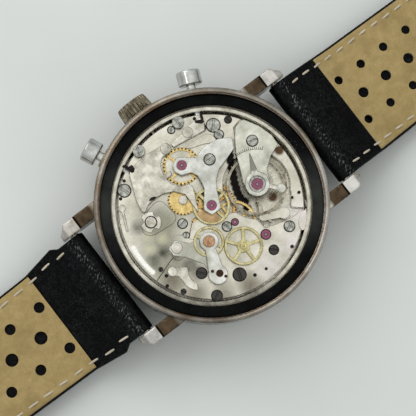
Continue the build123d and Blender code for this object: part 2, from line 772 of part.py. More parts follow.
def make_clutch_lever():
    """Clutch: a lower lever on its pivot, and the small bridge screwed on its foot."""
    lower = outline([(-9.9, -1.3), (-8.2, -0.8), (-6.6, -2.6), (-3.9, -3.2), (-2.9, -4.6), (-4.2, -5.6),
                     (-5.4, -5.9), (-4.9, -8.2), (-4.6, -10.2), (-5.9, -11.3), (-7.3, -10.2), (-6.8, -8.6),
                     (-6.8, -6.8), (-8.4, -4.2), (-9.9, -2.7)], 0.4)
    body = slab(lower, lever_bottom, lever_top)
    body -= disc(clutch_post_radius + run_gap, lever_bottom, lever_top, clutch_pivot)
    upper = spot(coupling_at, 1.57) + spot(clutch_foot_at, 1.6)
    upper += outline([(-5.2, -5.0), (-3.6, -5.6), (-4.6, -9.0), (-7.2, -8.6), (-6.0, -6.5)], 0.3)
    body += slab(upper, clutch_head_bottom, clutch_head_top)
    body += disc(1.35, lever_top, clutch_head_bottom, clutch_foot_at)
    body -= disc(arbor_radius + run_gap, clutch_head_bottom, clutch_head_bottom + 0.32, coupling_at)
    return body - disc(0.95, clutch_head_top - 0.12, clutch_head_top, coupling_at)


def make_clutch_screws():
    """Slotted jewel plate on the clutch head, with the foot's screw and steady pins."""
    plate = disc(0.93, clutch_head_top - 0.12, clutch_head_top + 0.14, coupling_at)
    slot = Rotation(0, 0, 40) * Box(2.4, 0.3, 0.2)
    plate -= Pos(coupling_at[0], coupling_at[1], clutch_head_top + 0.14) * slot
    across = clutch_foot_at[0] + 0.3, clutch_foot_at[1]
    foot_screw = screw(across, 0.6, clutch_head_top, 0, 0.2)
    pins = [
        disc(0.26, clutch_head_top, clutch_head_top + 0.12, (across[0] + dx, across[1] + dy))
        for dx, dy in ((-0.75, 0.98), (0.5, -0.98))
    ]
    return plate, foot_screw, *pins


def heart(at, size, bottom, top):
    """Heart cam: the hammer's nose turns it to zero."""
    points = []
    for i in range(24):
        angle = i * 15
        share = abs(((angle + 180) % 360) - 180) / 180
        points.append(polar(size * (0.42 + 0.58 * share), angle, at))
    return slab(make_face(Polyline(*points, close=True)), bottom, top)


def make_runner():
    """Chronograph runner: fine wheel, finger, heart and the arbor of the sweep hand."""
    face = toothed(runner_teeth, runner_radius, fine_tooth) - windows(runner_radius - 0.45, 0.9, 4, 0.45, 10)
    body = wheel(centre_at, face, chrono_wheel_z, chrono_wheel_thickness)
    body += disc(hollow_radius - 0.08, chrono_hand_z, bridge_top, centre_at)
    body += disc(0.3, bridge_top, cock_bottom - 0.05, centre_at)
    body += disc(arbor_radius, cock_bottom - 0.05, cock_bottom + 0.25, centre_at)
    body += heart(centre_at, 0.85, hammer_bottom + 0.02, hammer_top - 0.02)
    finger = strip((0, 0), polar(2.25, 250), 0.3)
    return body + slab(finger, counter_wheel_z, counter_wheel_z + 0.16)


def make_recorder():
    """Minute recorder wheel with its heart and the arbor of the counter hand."""
    pitch = counter_module * recorder_teeth / 2
    face = toothed(recorder_teeth, pitch, 0.08) - windows(pitch - 0.5, 0.75, 4, 0.45, 15)
    body = wheel(recorder_at, face, counter_wheel_z, 0.18)
    body += disc(0.2, counter_hand_z - 0.05, cock_bottom - 0.05, recorder_at)
    body += disc(arbor_radius, cock_bottom - 0.05, cock_bottom + 0.25, recorder_at)
    return body + heart(recorder_at, 0.85, hammer_bottom + 0.02, hammer_top - 0.02)


def make_intermediate():
    """Solid intermediate wheel between the runner's finger and the recorder."""
    pitch = counter_module * intermediate_teeth / 2
    phase = meshed(recorder_at, recorder_teeth, 0, intermediate_at, intermediate_teeth)
    face = toothed(intermediate_teeth, pitch, 0.08, phase) - Circle(intermediate_post_radius + run_gap)
    body = wheel(intermediate_at, face, counter_wheel_z, 0.18)
    bore = intermediate_post_radius + run_gap
    return body + disc(0.62, counter_wheel_z + 0.18, counter_wheel_z + 0.3, intermediate_at, hole=bore)


hammer_points = [
    (0.5, 12.7), (-3.0, 13.1), (-6.9, 12.95), (-7.6, 12.2), (-8.4, 10.4), (-9.3, 8.2), (-9.7, 6.2), (-9.3, 5.7),
    (-8.2, 6.35), (-6.8, 6.6), (-5.0, 6.35), (-3.5, 5.6), (-2.3, 4.1), (-2.45, -0.1),
    (-2.1, 0.8), (-1.3, 2.6), (-0.5, 4.3), (-0.7, 4.95), (-2.1, 5.6), (-3.0, 6.8), (-3.2, 7.95), (-2.0, 7.95),
    (-1.85, 8.6), (-3.15, 8.8), (-2.7, 10.2), (-1.6, 11.2), (0.5, 11.2),
]


def make_hammer():
    """Reset hammer: a broad plate over the counter wheels, with one nose for each heart."""
    body = slab(outline(hammer_points, 0.12), hammer_bottom, hammer_top)
    body += disc(tail_radius, pusher_z - 0.5, hammer_bottom, tail_at(-1))
    return body - disc(hammer_post_radius + run_gap, hammer_bottom, hammer_top, hammer_pivot)


def make_operating_lever():
    """Long lever that the start pusher turns."""
    points = [
        (5.0, 12.85), (7.6, 12.75), (7.5, 11.7), (6.7, 10.6), (5.2, 10.75), (3.2, 11.1), (0.9, 11.4), (0.9, 12.2),
        (3.2, 12.4),
    ]
    blade = outline(points, 0.25)
    body = slab(blade, lever_top + 0.05, lever_top + 0.4)
    body += disc(tail_radius, pusher_z - 0.5, lever_top + 0.05, tail_at(1))
    return body - disc(lever_post_radius + run_gap, lever_top, lever_top + 0.5, operating_pivot)


cam_thickness = 0.4
lever_post_radius = 0.45
hammer_post_radius = 0.45
clutch_post_radius = 0.5
brake_post_radius = 0.35
intermediate_post_radius = 0.3


def make_cam():
    """Switching cam with two notches, on its own screw."""
    face = Circle(1.75)
    for angle in (20, 140, 260):
        face -= Pos(*polar(1.75, angle)) * Circle(0.55)
    body = wheel(cam_at, face, lever_bottom, cam_thickness)
    return body - disc(lever_post_radius + run_gap, lever_bottom, hammer_bottom, cam_at)


def make_brake_lever():
    """Pale steel brake lever whose pad lies by the runner's side of the clutch."""
    points = [
        (-12.4, -4.3), (-11.3, -4.1), (-10.0, -4.9), (-9.2, -5.6), (-9.8, -6.7), (-9.9, -7.6), (-9.5, -8.5),
        (-10.1, -9.7), (-10.9, -8.8), (-11.3, -7.8), (-11.2, -6.8), (-11.3, -5.8), (-12.1, -5.2),
    ]
    body = slab(outline(points, 0.22), lever_bottom, lever_top)
    return body - disc(brake_post_radius + run_gap, lever_bottom, lever_top, brake_pivot)


def make_hammer_spring():
    """Thin steel blade spring with a round foot, beside the hammer's tail."""
    return slab(strip((-13.4, 5.2), (-11.7, 9.0), 0.4) + spot((-11.9, 8.6), 0.6), lever_bottom, lever_top)


def make_pivot_posts():
    """Shouldered posts and screws that the levers turn on."""
    posts = []
    for at, radius, top in (
        (hammer_pivot, hammer_post_radius, hammer_top), (operating_pivot, lever_post_radius, lever_top + 0.4),
        (clutch_pivot, clutch_post_radius, lever_top), (brake_pivot, brake_post_radius, lever_top),
        (cam_at, lever_post_radius, lever_bottom + cam_thickness),
        (intermediate_at, intermediate_post_radius, counter_wheel_z + 0.3),
    ):
        post = disc(radius, bridge_top, top + 0.05, at)
        posts.append(post + disc(radius + 0.45, top + 0.05, top + 0.25, at))
    return posts


# ---------------------------------------------------------------- screws
def make_plate_screws():
    """Bright steel screws in the bridges and cocks."""
    bodies = [screw(at, 0.88, cock_top, 1.0) for at in (chrono_bridge_screw_at, cock_screw_at)]
    flat = [
        ((-9.8, 10.7), 1.03), ((8.2, 8.65), 0.75), ((8.4, 10.45), 1.1), ((2.4, 14.0), 0.55), ((-5.5, 0.6), 0.75),
        ((-6.2, -1.3), 0.5), ((0.0, -4.2), 0.75), ((8.2, -10.4), 0.85),
    ]
    return bodies + [screw(at, radius, bridge_top, 0) for at, radius in flat]


def make_dark_screws():
    """Dark oxidised screws of the lower bridges."""
    places = [
        ((-3.15, -11.7), 1.05), ((3.8, -11.9), 0.75), ((-7.95, -7.75), 0.85), ((-12.15, -8.35), 0.5),
        ((-8.2, -12.2), 0.85), ((-12.9, -3.2), 0.4), ((10.9, 9.7), 0.54), ((6.5, -13.3), 0.3),
    ]
    return [screw(at, radius, bridge_top, 0, 0.24) for at, radius in places]


case_clamps = ((4.0, 14.25), (-4.0, 14.35))


def make_case_screws():
    """Screws whose broad heads clamp the movement to its spacer."""
    bodies = []
    for x, y in case_clamps:
        body = disc(1.0, ring_top, ring_top + 0.25, (x, y)) + disc(0.5, bridge_top, ring_top, (x, y))
        slot = Rotation(0, 0, 25 * x) * Box(2.2, 0.25, 0.24)
        bodies.append(body - Pos(x, y, ring_top + 0.25) * slot)
    return bodies


# ---------------------------------------------------------------- motion work, dial and hands
chrono_hand_z = 2.5
minute_hand_z = 3.0
hour_hand_z = 3.45
counter_hand_z = 3.85
hand_thickness = 0.15
cannon_bottom = minute_hand_z + 0.1
cannon_radius = 0.85
motion_z = dial_top + 0.15
motion_thickness = 0.25
cannon_teeth, minute_teeth, minute_pinion, hour_teeth = 12, 36, 10, 40
cannon_module = module(centre_at, minute_wheel_at, cannon_teeth, minute_teeth)
hour_module = module(centre_at, minute_wheel_at, hour_teeth, minute_pinion)


def make_dial():
    """Dial with holes for the five hands' arbors."""
    body = disc(movement_radius - 0.1, dial_bottom, dial_top)
    body -= disc(1.35 + run_gap, dial_bottom, dial_top)
    body -= disc(0.35, dial_bottom, dial_top, fourth_at)
    return body - disc(0.4, dial_bottom, dial_top, recorder_at)


def make_cannon_pinion():
    """Pinion pressed on the centre arbor; it carries the minute hand."""
    body = disc(0.8, minute_hand_z - 0.02, motion_z + 0.4)
    phase = 0.0
    low = motion_z + 0.32
    body += wheel(centre_at, toothed(cannon_teeth, cannon_module * cannon_teeth / 2, 0.07, phase), low, 0.22)
    return body - disc(0.62 + press_gap, 0, 10)


def make_minute_wheel():
    """Minute wheel and pinion between cannon pinion and hour wheel."""
    phase = meshed(centre_at, cannon_teeth, 0.0, minute_wheel_at, minute_teeth)
    low = motion_z + 0.32
    body = wheel(minute_wheel_at, toothed(minute_teeth, cannon_module * minute_teeth / 2, 0.07, phase), low, 0.2)
    small = meshed(centre_at, hour_teeth, 0.0, minute_wheel_at, minute_pinion)
    face = toothed(minute_pinion, hour_module * minute_pinion / 2, 0.06, small)
    body += wheel(minute_wheel_at, face, motion_z - 0.05, 0.4)
    return body - disc(0.13 + run_gap, motion_z - 0.1, plate_bottom, minute_wheel_at)


def make_hour_wheel():
    """Hour wheel on a tube over the cannon pinion."""
    face = toothed(hour_teeth, hour_module * hour_teeth / 2, 0.06)
    body = wheel(centre_at, face, motion_z, motion_thickness)
    body += disc(1.35 - run_gap, hour_hand_z - 0.02, motion_z)
    return body - disc(0.8 + run_gap, 0, 10)


def hand(at, length, tail, width, angle, low, hub, bore):
    """Straight baton hand with a round boss, turned to an angle from +X."""
    face = Pos((length - tail) / 2, 0) * Rectangle(length + tail, width)
    face += Circle(hub)
    face -= Circle(bore)
    return wheel(at, Rotation(0, 0, angle) * face, low, hand_thickness)


def make_minute_post():
    return disc(0.13, motion_z - 0.05, plate_bottom, minute_wheel_at)


# ---------------------------------------------------------------- pushers
def make_pusher(side):
    """Pusher: round cap outside, stem through its tube."""
    body = along_pusher(side, pusher_cap_radius, 0, pusher_cap_length)
    body = chamfer(body.edges().filter_by(GeomType.CIRCLE), 0.18)
    return body + along_pusher(side, pusher_stem_radius, -pusher_reach, 0.5)


# ---------------------------------------------------------------- strap
def strap_level(x, lift):
    """Height of the strap's lower face: it leaves the bar and comes down to the table."""
    start, stop = bar_x + 0.5, 33.0
    share = min(max((x - start) / (stop - start), 0), 1)
    ease = share * share * (3 - 2 * share)
    return (bar_z - strap_loop_radius) * (1 - ease) + lift * ease


def strap_side(start, end, lift, bottom, top, fold):
    """Side view of a layer of the strap between two offsets above its lower face."""
    grid = [bar_x + 1.25 * i for i in range(13)] + [fold]
    stations = sorted({start, end, *(x for x in grid if start < x < end)})
    low = [(x, strap_level(x, lift) + bottom) for x in stations]
    high = [(x, strap_level(x, lift) + top) for x in stations]
    return make_face(Polyline(*low, *reversed(high), close=True))


def strap_plan(end, tail):
    """Top view: parallel at the lugs, tapering to the buckle's width."""
    wide, narrow = strap_width / 2, strap_end_width / 2
    points = [(0, -wide), (strap_taper_start, -wide), (strap_taper_end, -narrow), (end - tail, -narrow)]
    if tail:
        points += [(end - 2.0, -narrow * 0.55), (end, 0), (end - 2.0, narrow * 0.55)]
    points += [(end - tail, narrow), (strap_taper_end, narrow), (strap_taper_start, wide), (0, wide)]
    return slab(make_face(Polyline(*points, close=True)), -5, 20)


def strap_layer(start, end, lift, bottom, top, fold, tail=0.0):
    side = Plane.XZ * strap_side(start, end, lift, bottom, top, fold)
    body = extrude(side, strap_width / 2 + 1, dir=(0, 1, 0), both=True)
    return body & strap_plan(end, tail)


def strap_half(end, lift, fold, tail):
    """Leather and lining of one half, built towards +X."""
    leather_top = strap_thick - lining_thick
    leather = strap_layer(bar_x, end, lift, 0, leather_top, fold, tail)
    leather += strap_layer(bar_x, fold, lift, leather_top - 0.1, strap_thick, fold)
    half = strap_width / 2
    leather += rod(strap_loop_radius, (bar_x, -half, bar_z), (bar_x, half, bar_z))
    leather -= rod(bar_radius + run_gap, (bar_x, -half - 1, bar_z), (bar_x, half + 1, bar_z))
    lining = strap_layer(fold + 0.03, end - 0.4, lift, leather_top + 0.02, strap_thick, fold, tail)
    return leather, lining


def make_spring_bars():
    """Spring bars: a barrel with a thinner tip at each end."""
    bars = []
    for side in (1, -1):
        x = side * bar_x
        wide = lug_inside / 2 - 0.1
        tip = lug_inside / 2 + bar_tip_length - 0.1
        bar = rod(bar_radius, (x, -wide, bar_z), (x, wide, bar_z))
        bars.append(bar + rod(bar_tip_radius, (x, -tip, bar_z), (x, tip, bar_z)))
    return bars


buckle_x = short_strap_end
buckle_z = strap_lift + strap_thick / 2
buckle_inside = strap_end_width / 2 + 0.3
tongue_width = 1.6


def buckle_slot():
    """Slot in the strap's end for the tongue, and room for the bar."""
    half = strap_width
    hole = rod(buckle_bar_radius + run_gap, (buckle_x - 1.5, -half, buckle_z), (buckle_x - 1.5, half, buckle_z))
    return hole + block((buckle_x - 5.5, buckle_x + 1), (-tongue_width / 2 - 0.3, tongue_width / 2 + 0.3), (-1, 9))


def make_buckle_frame():
    """Open rectangular buckle frame with eyes for its bar."""
    low, high = buckle_z - 0.9, buckle_z + 0.9
    start = buckle_x - 2.6
    outer = buckle_inside + buckle_wall
    face = Pos(start + buckle_length / 2, 0) * RectangleRounded(buckle_length, 2 * outer, 0.9)
    opening = block(
        (start - 1, start + buckle_length - buckle_wall), (-buckle_inside, buckle_inside), (low - 1, high + 1)
    )
    body = slab(face, low, high) - opening
    seat = start + buckle_length - buckle_wall / 2
    return body - block((seat - 1.2, seat + 1.2), (-1.1, 1.1), (high - 0.45, high + 1)) - rod(
        buckle_bar_radius + press_gap, (buckle_x - 1.5, -30, buckle_z), (buckle_x - 1.5, 30, buckle_z)
    )


def make_buckle_bar():
    outer = buckle_inside + buckle_wall - 0.1
    return rod(buckle_bar_radius, (buckle_x - 1.5, -outer, buckle_z), (buckle_x - 1.5, outer, buckle_z))


def make_tongue():
    """Tongue: an eye on the bar and a flat finger resting on the frame."""
    pin_x = buckle_x - 1.5
    half = tongue_width / 2
    body = rod(buckle_bar_radius + 0.65, (pin_x, -half, buckle_z), (pin_x, half, buckle_z))
    seat = buckle_z + 0.9 - 0.45
    end = buckle_x - 2.6 + buckle_length + 0.1
    body += block((pin_x, end), (-half, half), (seat + 0.06, seat + 0.75))
    return body - rod(buckle_bar_radius + run_gap, (pin_x, -half - 1, buckle_z), (pin_x, half + 1, buckle_z))


def make_keeper(x, gap):
    """Leather loop round the strap, high enough for the other half as well."""
    wide = strap_end_width / 2 + gap
    low = strap_lift - gap
    high = strap_lift + 2 * strap_thick + gap + 0.2
    side, rise = wide + keeper_wall, keeper_wall
    outer = block((x, x + keeper_width), (-side, side), (low - rise, high + rise))
    return outer - block((x - 1, x + keeper_width + 1), (-wide, wide), (low, high))


# ---------------------------------------------------------------- write every node
save("case_middle", make_case())
save("bezel", make_bezel())
save("crystal", make_crystal())
save("back_gasket", make_gasket())
save("movement_ring", make_movement_ring())
save("guide_tubes", make_crown_tube(), make_pusher_tube(1), make_pusher_tube(-1))
save("spring_bars", *make_spring_bars())

save("crown", make_crown())
save("winding_stem", make_stem())
save("winding_pinion", make_winding_pinion())
save("crown_wheel", make_crown_wheel())
save("ratchet_wheel", make_ratchet(), make_barrel_arbor())

save("barrel", make_barrel())
save("mainspring", *make_mainspring())
save("centre_wheel", make_centre_wheel(), make_cannon_pinion())
save("third_wheel", make_third_wheel())
save("fourth_wheel", make_fourth_wheel())
save("escape_wheel", make_escape_wheel())
save("pallet_fork", make_pallet_fork())
save("pallet_cock", make_pallet_cock())

save("balance_wheel", make_balance())
save("hairspring", make_hairspring())
save("regulator", make_regulator(), make_stud_carrier())
save("balance_cock", make_balance_cock())

save("main_plate", make_main_plate())
save("barrel_bridge", make_barrel_bridge())
save("train_bridge", make_train_bridge())
save("chronograph_bridge", make_chrono_bridge())
save("jewels", *make_jewels())

save("driving_wheel", make_driving_wheel())
save("coupling_wheel", make_coupling_wheel())
save("clutch_lever", make_clutch_lever())
save("clutch_screws", *make_clutch_screws())
save("chronograph_runner", make_runner())
save("minute_recorder", make_recorder())
save("intermediate_wheel", make_intermediate())
save("hammer", make_hammer())
save("operating_lever", make_operating_lever())
save("switching_cam", make_cam())
save("brake_lever", make_brake_lever())
save("posts_and_springs", *make_pivot_posts(), make_minute_post(), make_hammer_spring(), *make_click())
save("screws", *make_plate_screws(), *make_dark_screws(), *make_case_screws())

save("dial", make_dial())
save("hour_wheel", make_hour_wheel())
save("minute_wheel", make_minute_wheel())
save("hour_hand", hand(centre_at, 8.0, 1.0, 0.9, 120, hour_hand_z, 1.6, 1.35 - run_gap + press_gap))
save("minute_hand", hand(centre_at, 12.2, 1.0, 0.8, -30, minute_hand_z, 1.2, 0.8 + press_gap))
save("chrono_hand", hand(centre_at, 13.2, 3.4, 0.25, 0, chrono_hand_z, 0.8, hollow_radius - 0.06))
save("seconds_hand", hand(fourth_at, 2.9, 0.8, 0.25, 40, counter_hand_z, 0.4, arbor_radius + press_gap))
save("counter_hand", hand(recorder_at, 2.9, 0.8, 0.25, 0, counter_hand_z, 0.45, 0.2 + press_gap))

save("start_pusher", make_pusher(1))
save("reset_pusher", make_pusher(-1))

short_leather, short_lining = strap_half(short_strap_end, strap_lift, short_fold_x, 0)
long_leather, long_lining = strap_half(long_strap_end, strap_lift, long_fold_x, 9.0)
save("strap_short", short_leather - buckle_slot())
save("strap_short_lining", short_lining - buckle_slot())
save("strap_long", mirror(long_leather, Plane.YZ))
save("strap_long_lining", mirror(long_lining, Plane.YZ))
save("buckle_frame", make_buckle_frame(), make_buckle_bar())
save("buckle_tongue", make_tongue())
save("fixed_keeper", make_keeper(fixed_keeper_x, 0.1))
save("sliding_keeper", make_keeper(sliding_keeper_x, 0.3))
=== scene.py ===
# %% [markdown]
# # A chronograph wristwatch, seen from its open back
# The metal parts of the watch come ready made and in place. This lesson gives each of them its
# finish, and makes what is soft or fine by mesh code: the perforated leather strap with its lining
# and stitches, the thin plates of the movement, dark plates and rings of painted shade for its
# slots, holes and countersinks, and the dial's markers. Everything is in metres, so small sizes
# are written in millimetres and scaled.

# %% Load the watch
import json
import math
import random

import bmesh
import bpy
from mathutils import Matrix, Vector


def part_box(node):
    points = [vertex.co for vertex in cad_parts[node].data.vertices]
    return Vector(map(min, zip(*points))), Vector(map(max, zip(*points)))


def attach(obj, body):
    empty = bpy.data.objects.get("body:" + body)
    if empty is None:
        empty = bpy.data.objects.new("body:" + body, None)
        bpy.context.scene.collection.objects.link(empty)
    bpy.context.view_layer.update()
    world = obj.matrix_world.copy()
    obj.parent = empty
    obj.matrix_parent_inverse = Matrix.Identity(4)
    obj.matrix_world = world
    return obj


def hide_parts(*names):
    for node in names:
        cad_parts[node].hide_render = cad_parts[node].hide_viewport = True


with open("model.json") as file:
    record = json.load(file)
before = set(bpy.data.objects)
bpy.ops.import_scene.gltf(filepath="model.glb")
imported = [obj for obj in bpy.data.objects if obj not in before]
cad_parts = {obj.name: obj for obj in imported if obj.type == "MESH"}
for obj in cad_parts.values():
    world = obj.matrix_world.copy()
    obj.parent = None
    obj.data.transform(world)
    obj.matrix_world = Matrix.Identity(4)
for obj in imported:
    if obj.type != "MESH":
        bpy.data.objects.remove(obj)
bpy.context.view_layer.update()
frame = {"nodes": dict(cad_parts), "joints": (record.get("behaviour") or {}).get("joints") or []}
nodes = frame["nodes"]
MM = 0.001
print("pieces that came ready made:", len(nodes))


# %% [markdown]
# Sizes are read from the watch itself, so that leather and stitches stay where the metal is. The
# spring bars give each strap's hinge line, and the strap solids give its length and height.

# %% Read the sizes that the soft pieces need
def box_mm(node):
    """Lowest and highest corner of a ready-made piece, in millimetres."""
    low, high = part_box(node)
    return low / MM, high / MM


joint_at = {joint["name"]: joint.get("pos_m") for joint in frame["joints"]}
bar_x, _, bar_z = (value / MM for value in joint_at["strap_short_hinge"])
tongue_x = joint_at["tongue_hinge"][0] / MM
short_end = box_mm("strap_short")[1].x
long_low = box_mm("strap_long")[0]
long_end, strap_floor = -long_low.x, long_low.z
short_fold = box_mm("strap_short_lining")[0].x
long_fold = -box_mm("strap_long_lining")[1].x
print("spring bar at", round(bar_x, 2), round(bar_z, 2), "folds", round(short_fold, 2), round(long_fold, 2))


# %% [markdown]
# A few small helpers keep the mesh code short. A piece is made from vertices in millimetres, gets
# smooth shading with sharp corners kept, and is then tied to the body that it moves with.

# %% Helpers that make and place a mesh
def add_object(name, data):
    """Put a mesh, curve, light or camera in the scene."""
    piece = bpy.data.objects.new(name, data)
    bpy.context.scene.collection.objects.link(piece)
    return piece


def soften(piece, angle=40):
    """Smooth shading that keeps corners sharper than the angle."""
    mesh = piece.data
    mesh.polygons.foreach_set("use_smooth", [True] * len(mesh.polygons))
    mesh.set_sharp_from_angle(angle=math.radians(angle))
    return piece


def bmesh_piece(name, work, smooth_angle=40):
    """A mesh object from a bmesh that is already in metres."""
    bmesh.ops.recalc_face_normals(work, faces=work.faces)
    mesh = bpy.data.meshes.new(name)
    work.to_mesh(mesh)
    work.free()
    return soften(add_object(name, mesh), smooth_angle)


def skin_rows(work, rows, closed=False):
    """Faces between rows of points that go round a shape; its ends are capped or joined."""
    pairs = list(zip(rows, rows[1:]))
    if closed:
        pairs.append((rows[-1], rows[0]))
    for first, second in pairs:
        for i in range(len(first)):
            k = (i + 1) % len(first)
            work.faces.new((first[i], first[k], second[k], second[i]))
    if not closed:
        work.faces.new(rows[0])
        work.faces.new(rows[-1])


def evaluated_mesh(piece):
    """A plain mesh of a curve, or of a piece with its modifiers."""
    shape = piece.evaluated_get(bpy.context.evaluated_depsgraph_get())
    return bpy.data.meshes.new_from_object(shape)


def clamp(value):
    return min(max(value, 0.0), 1.0)


def settle(piece, body, slot, material, *stands_for):
    """Give a piece its finish and tie it to the body it moves with."""
    piece.data.materials.clear()
    piece.data.materials.append(material)
    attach(piece, body)
    if stands_for:
        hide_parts(*stands_for)


# %% [markdown]
# Every finish is procedural: it comes from noise and geometry, not from pictures. Effects that
# several finishes share are shader node groups with named inputs and outputs. These helpers each
# add a node in one line, and build a group from a function that wires its nodes.

# %% Helpers for shader nodes
def put(kind, inputs, **settings):
    """Add a node to the tree of its linked inputs; the other inputs are plain values."""
    tree = next(value.id_data for value in inputs.values() if isinstance(value, bpy.types.NodeSocket))
    node = tree.nodes.new("ShaderNode" + kind)
    for name, value in settings.items():
        setattr(node, name, value)
    for name, value in inputs.items():
        socket = node.inputs[name]
        if isinstance(value, bpy.types.NodeSocket):
            tree.links.new(value, socket)
        else:
            socket.default_value = (*value, 1.0) if socket.type == "RGBA" else value
    return node


def use(group, place, **inputs):
    """Put a shared group in a material, at a place on the object."""
    return put("Group", {"Vector": place, **inputs}, node_tree=group).outputs


def shared(name, outputs, **inputs):
    """Build a shader node group with named sockets from a function that wires its nodes."""
    def build(wire_nodes):
        tree = bpy.data.node_groups.new(name, "ShaderNodeTree")
        sockets = [(label, "INPUT", default) for label, default in {"Vector": None, **inputs}.items()]
        sockets += [(label, "OUTPUT", default) for label, default in outputs.items()]
        for label, way, default in sockets:
            kind = "NodeSocketFloat" if isinstance(default, float) else "NodeSocketVector"
            socket = tree.interface.new_socket(label, in_out=way, socket_type=kind)
            if way == "INPUT" and default is not None:
                socket.default_value = default
        start = tree.nodes.new("NodeGroupInput")
        end = tree.nodes.new("NodeGroupOutput")
        for label, value in wire_nodes(start.outputs).items():
            tree.links.new(value, end.inputs[label])
        return tree

    return build


def maths(operation, first, second=0.0):
    return put("Math", {0: first, 1: second}, operation=operation).outputs[0]


def times(product, *others):
    for value in others:
        product = maths("MULTIPLY", product, value)
    return product


def scale_of(size):
    """A texture's scale from the size of its features in millimetres."""
    return maths("DIVIDE", 1.0, size)


def vector_maths(operation, first, second=(0.0, 0.0, 0.0)):
    node = put("VectorMath", {0: first, 1: second}, operation=operation)
    one_number = operation in ("DISTANCE", "DOT_PRODUCT", "LENGTH")
    return node.outputs["Value" if one_number else "Vector"]


def remap(value, low, high, to_low=0.0, to_high=1.0):
    """Stretch a value from one range to another, and clamp it."""
    inputs = {"Value": value, "From Min": low, "From Max": high, "To Min": to_low, "To Max": to_high}
    return put("MapRange", inputs).outputs["Result"]


def noise(place, scale, **more):
    return put("TexNoise", {"Vector": place, "Scale": scale, **more}).outputs["Fac"]


def blend(share, first, second):
    """Mix two colours by a mask; either may be a link."""
    return put("Mix", {0: share, 6: first, 7: second}, data_type="RGBA").outputs[2]


# %% [markdown]
# **Patchy tone.** No metal or leather is one even colour. Soft noise, measured in millimetres on
# the object, gives a mask that darkens some places and leaves others bright.

# %% Group: patchy tone
@shared("patchy tone", {"Mask": 0.0}, Size=3.0, Contrast=0.5)
def patchy_tone(at):
    broad = noise(at["Vector"], scale_of(at["Size"]), Detail=3.0, Roughness=0.6)
    half = times(at["Contrast"], 0.3)
    low, high = maths("SUBTRACT", 0.5, half), maths("ADD", 0.5, half)
    return {"Mask": remap(broad, low, high)}


def patches(place, size, contrast):
    return use(patchy_tone, place, Size=size, Contrast=contrast)["Mask"]


# %% [markdown]
# **Fine grain.** Brushed and grained metal has hair lines that run one way. Noise that is
# stretched along one axis gives them. The stretch is an input, so that a turned part can have
# round grain and a lever long grain.

# %% Group: fine grain
@shared("fine grain", {"Height": 0.0, "Streaks": 0.0}, Stretch=(1.0, 12.0, 1.0), Size=0.2)
def fine_grain(at):
    stretched = vector_maths("MULTIPLY", at["Vector"], at["Stretch"])
    scale = scale_of(at["Size"])
    broad = noise(stretched, times(scale, 0.23), Detail=1.0)
    return {"Height": noise(stretched, scale, Detail=2.0), "Streaks": remap(broad, 0.3, 0.7)}


# %% [markdown]
# ** Worn edge and edge shade.** Plating rubs through where a corner meets skin and cloth, and on
# plates, bridges, levers and screws the same mask carries a near-black painted shade along every
# edge. A bevel node bends the normal near corners, so the difference between it and the true normal
# is a mask of the edges. Noise breaks the mask up, because wear is never a clean line.

# %% Group: edge wear and shade
@shared("worn edge", {"Mask": 0.0, "Normal": None}, Width=0.0003, Breakup=0.5, Size=1.0)
def edge_wear_and_shade_group(at):
    bevel = put("Bevel", {"Radius": at["Width"]}, samples=4).outputs[0]
    true_normal = at["Width"].id_data.nodes.new("ShaderNodeNewGeometry").outputs["Normal"]
    edge = remap(vector_maths("DOT_PRODUCT", bevel, true_normal), 0.999, 0.86)
    scale = scale_of(at["Size"])
    broken = remap(noise(at["Vector"], scale, Detail=4.0, Roughness=0.65), 0.42, 0.6)
    share = put("Mix", {0: at["Breakup"], 2: 1.0, 3: broken}).outputs[0]
    return {"Mask": times(edge, share), "Normal": bevel}


# %% [markdown]
# **Specks.** Dust, old oil and tiny scratches gather on a movement that has been open for years.
# Small cells of a Voronoi texture, kept only where a second noise allows, give scattered specks.

# %% Group: specks
@shared("specks", {"Mask": 0.0}, Size=0.4, Amount=0.3)
def specks(at):
    scale = scale_of(at["Size"])
    cells = put("TexVoronoi", {"Vector": at["Vector"], "Scale": scale}).outputs["Distance"]
    where = noise(at["Vector"], times(scale, 0.2))
    low = maths("SUBTRACT", 0.75, times(at["Amount"], 0.4))
    return {"Mask": times(remap(cells, 0.28, 0.12), remap(where, low, 0.8))}


def dots(place, size, amount):
    return use(specks, place, Size=size, Amount=amount)["Mask"]


# %% [markdown]
# ** Near a place.** A few screws were blued or blackened while their neighbours were left bright. A
# distance from the screw's centre, compared with a radius, is a round mask. The same group also
# gives a soft patch that sits at one place on a plate or the case: a stain, a polished spot,
# painted shade or a painted highlight.

# %% Group: near a place
@shared("near a place", {"Mask": 0.0}, Place=(0.0, 0.0, 0.0), Radius=1.2, Softness=0.05)
def near_place(at):
    flat = vector_maths("MULTIPLY", at["Vector"], (1.0, 1.0, 0.0))
    away = vector_maths("DISTANCE", flat, at["Place"])
    inner = maths("SUBTRACT", at["Radius"], at["Softness"])
    return {"Mask": remap(away, at["Radius"], inner)}


def any_of(place, spots, radius, softness):
    """The strongest of several round masks."""
    total = 0.0
    for x, y in spots:
        mask = use(near_place, place, Place=(x, y, 0.0), Radius=radius, Softness=softness)["Mask"]
        total = maths("MAXIMUM", mask, total)
    return total
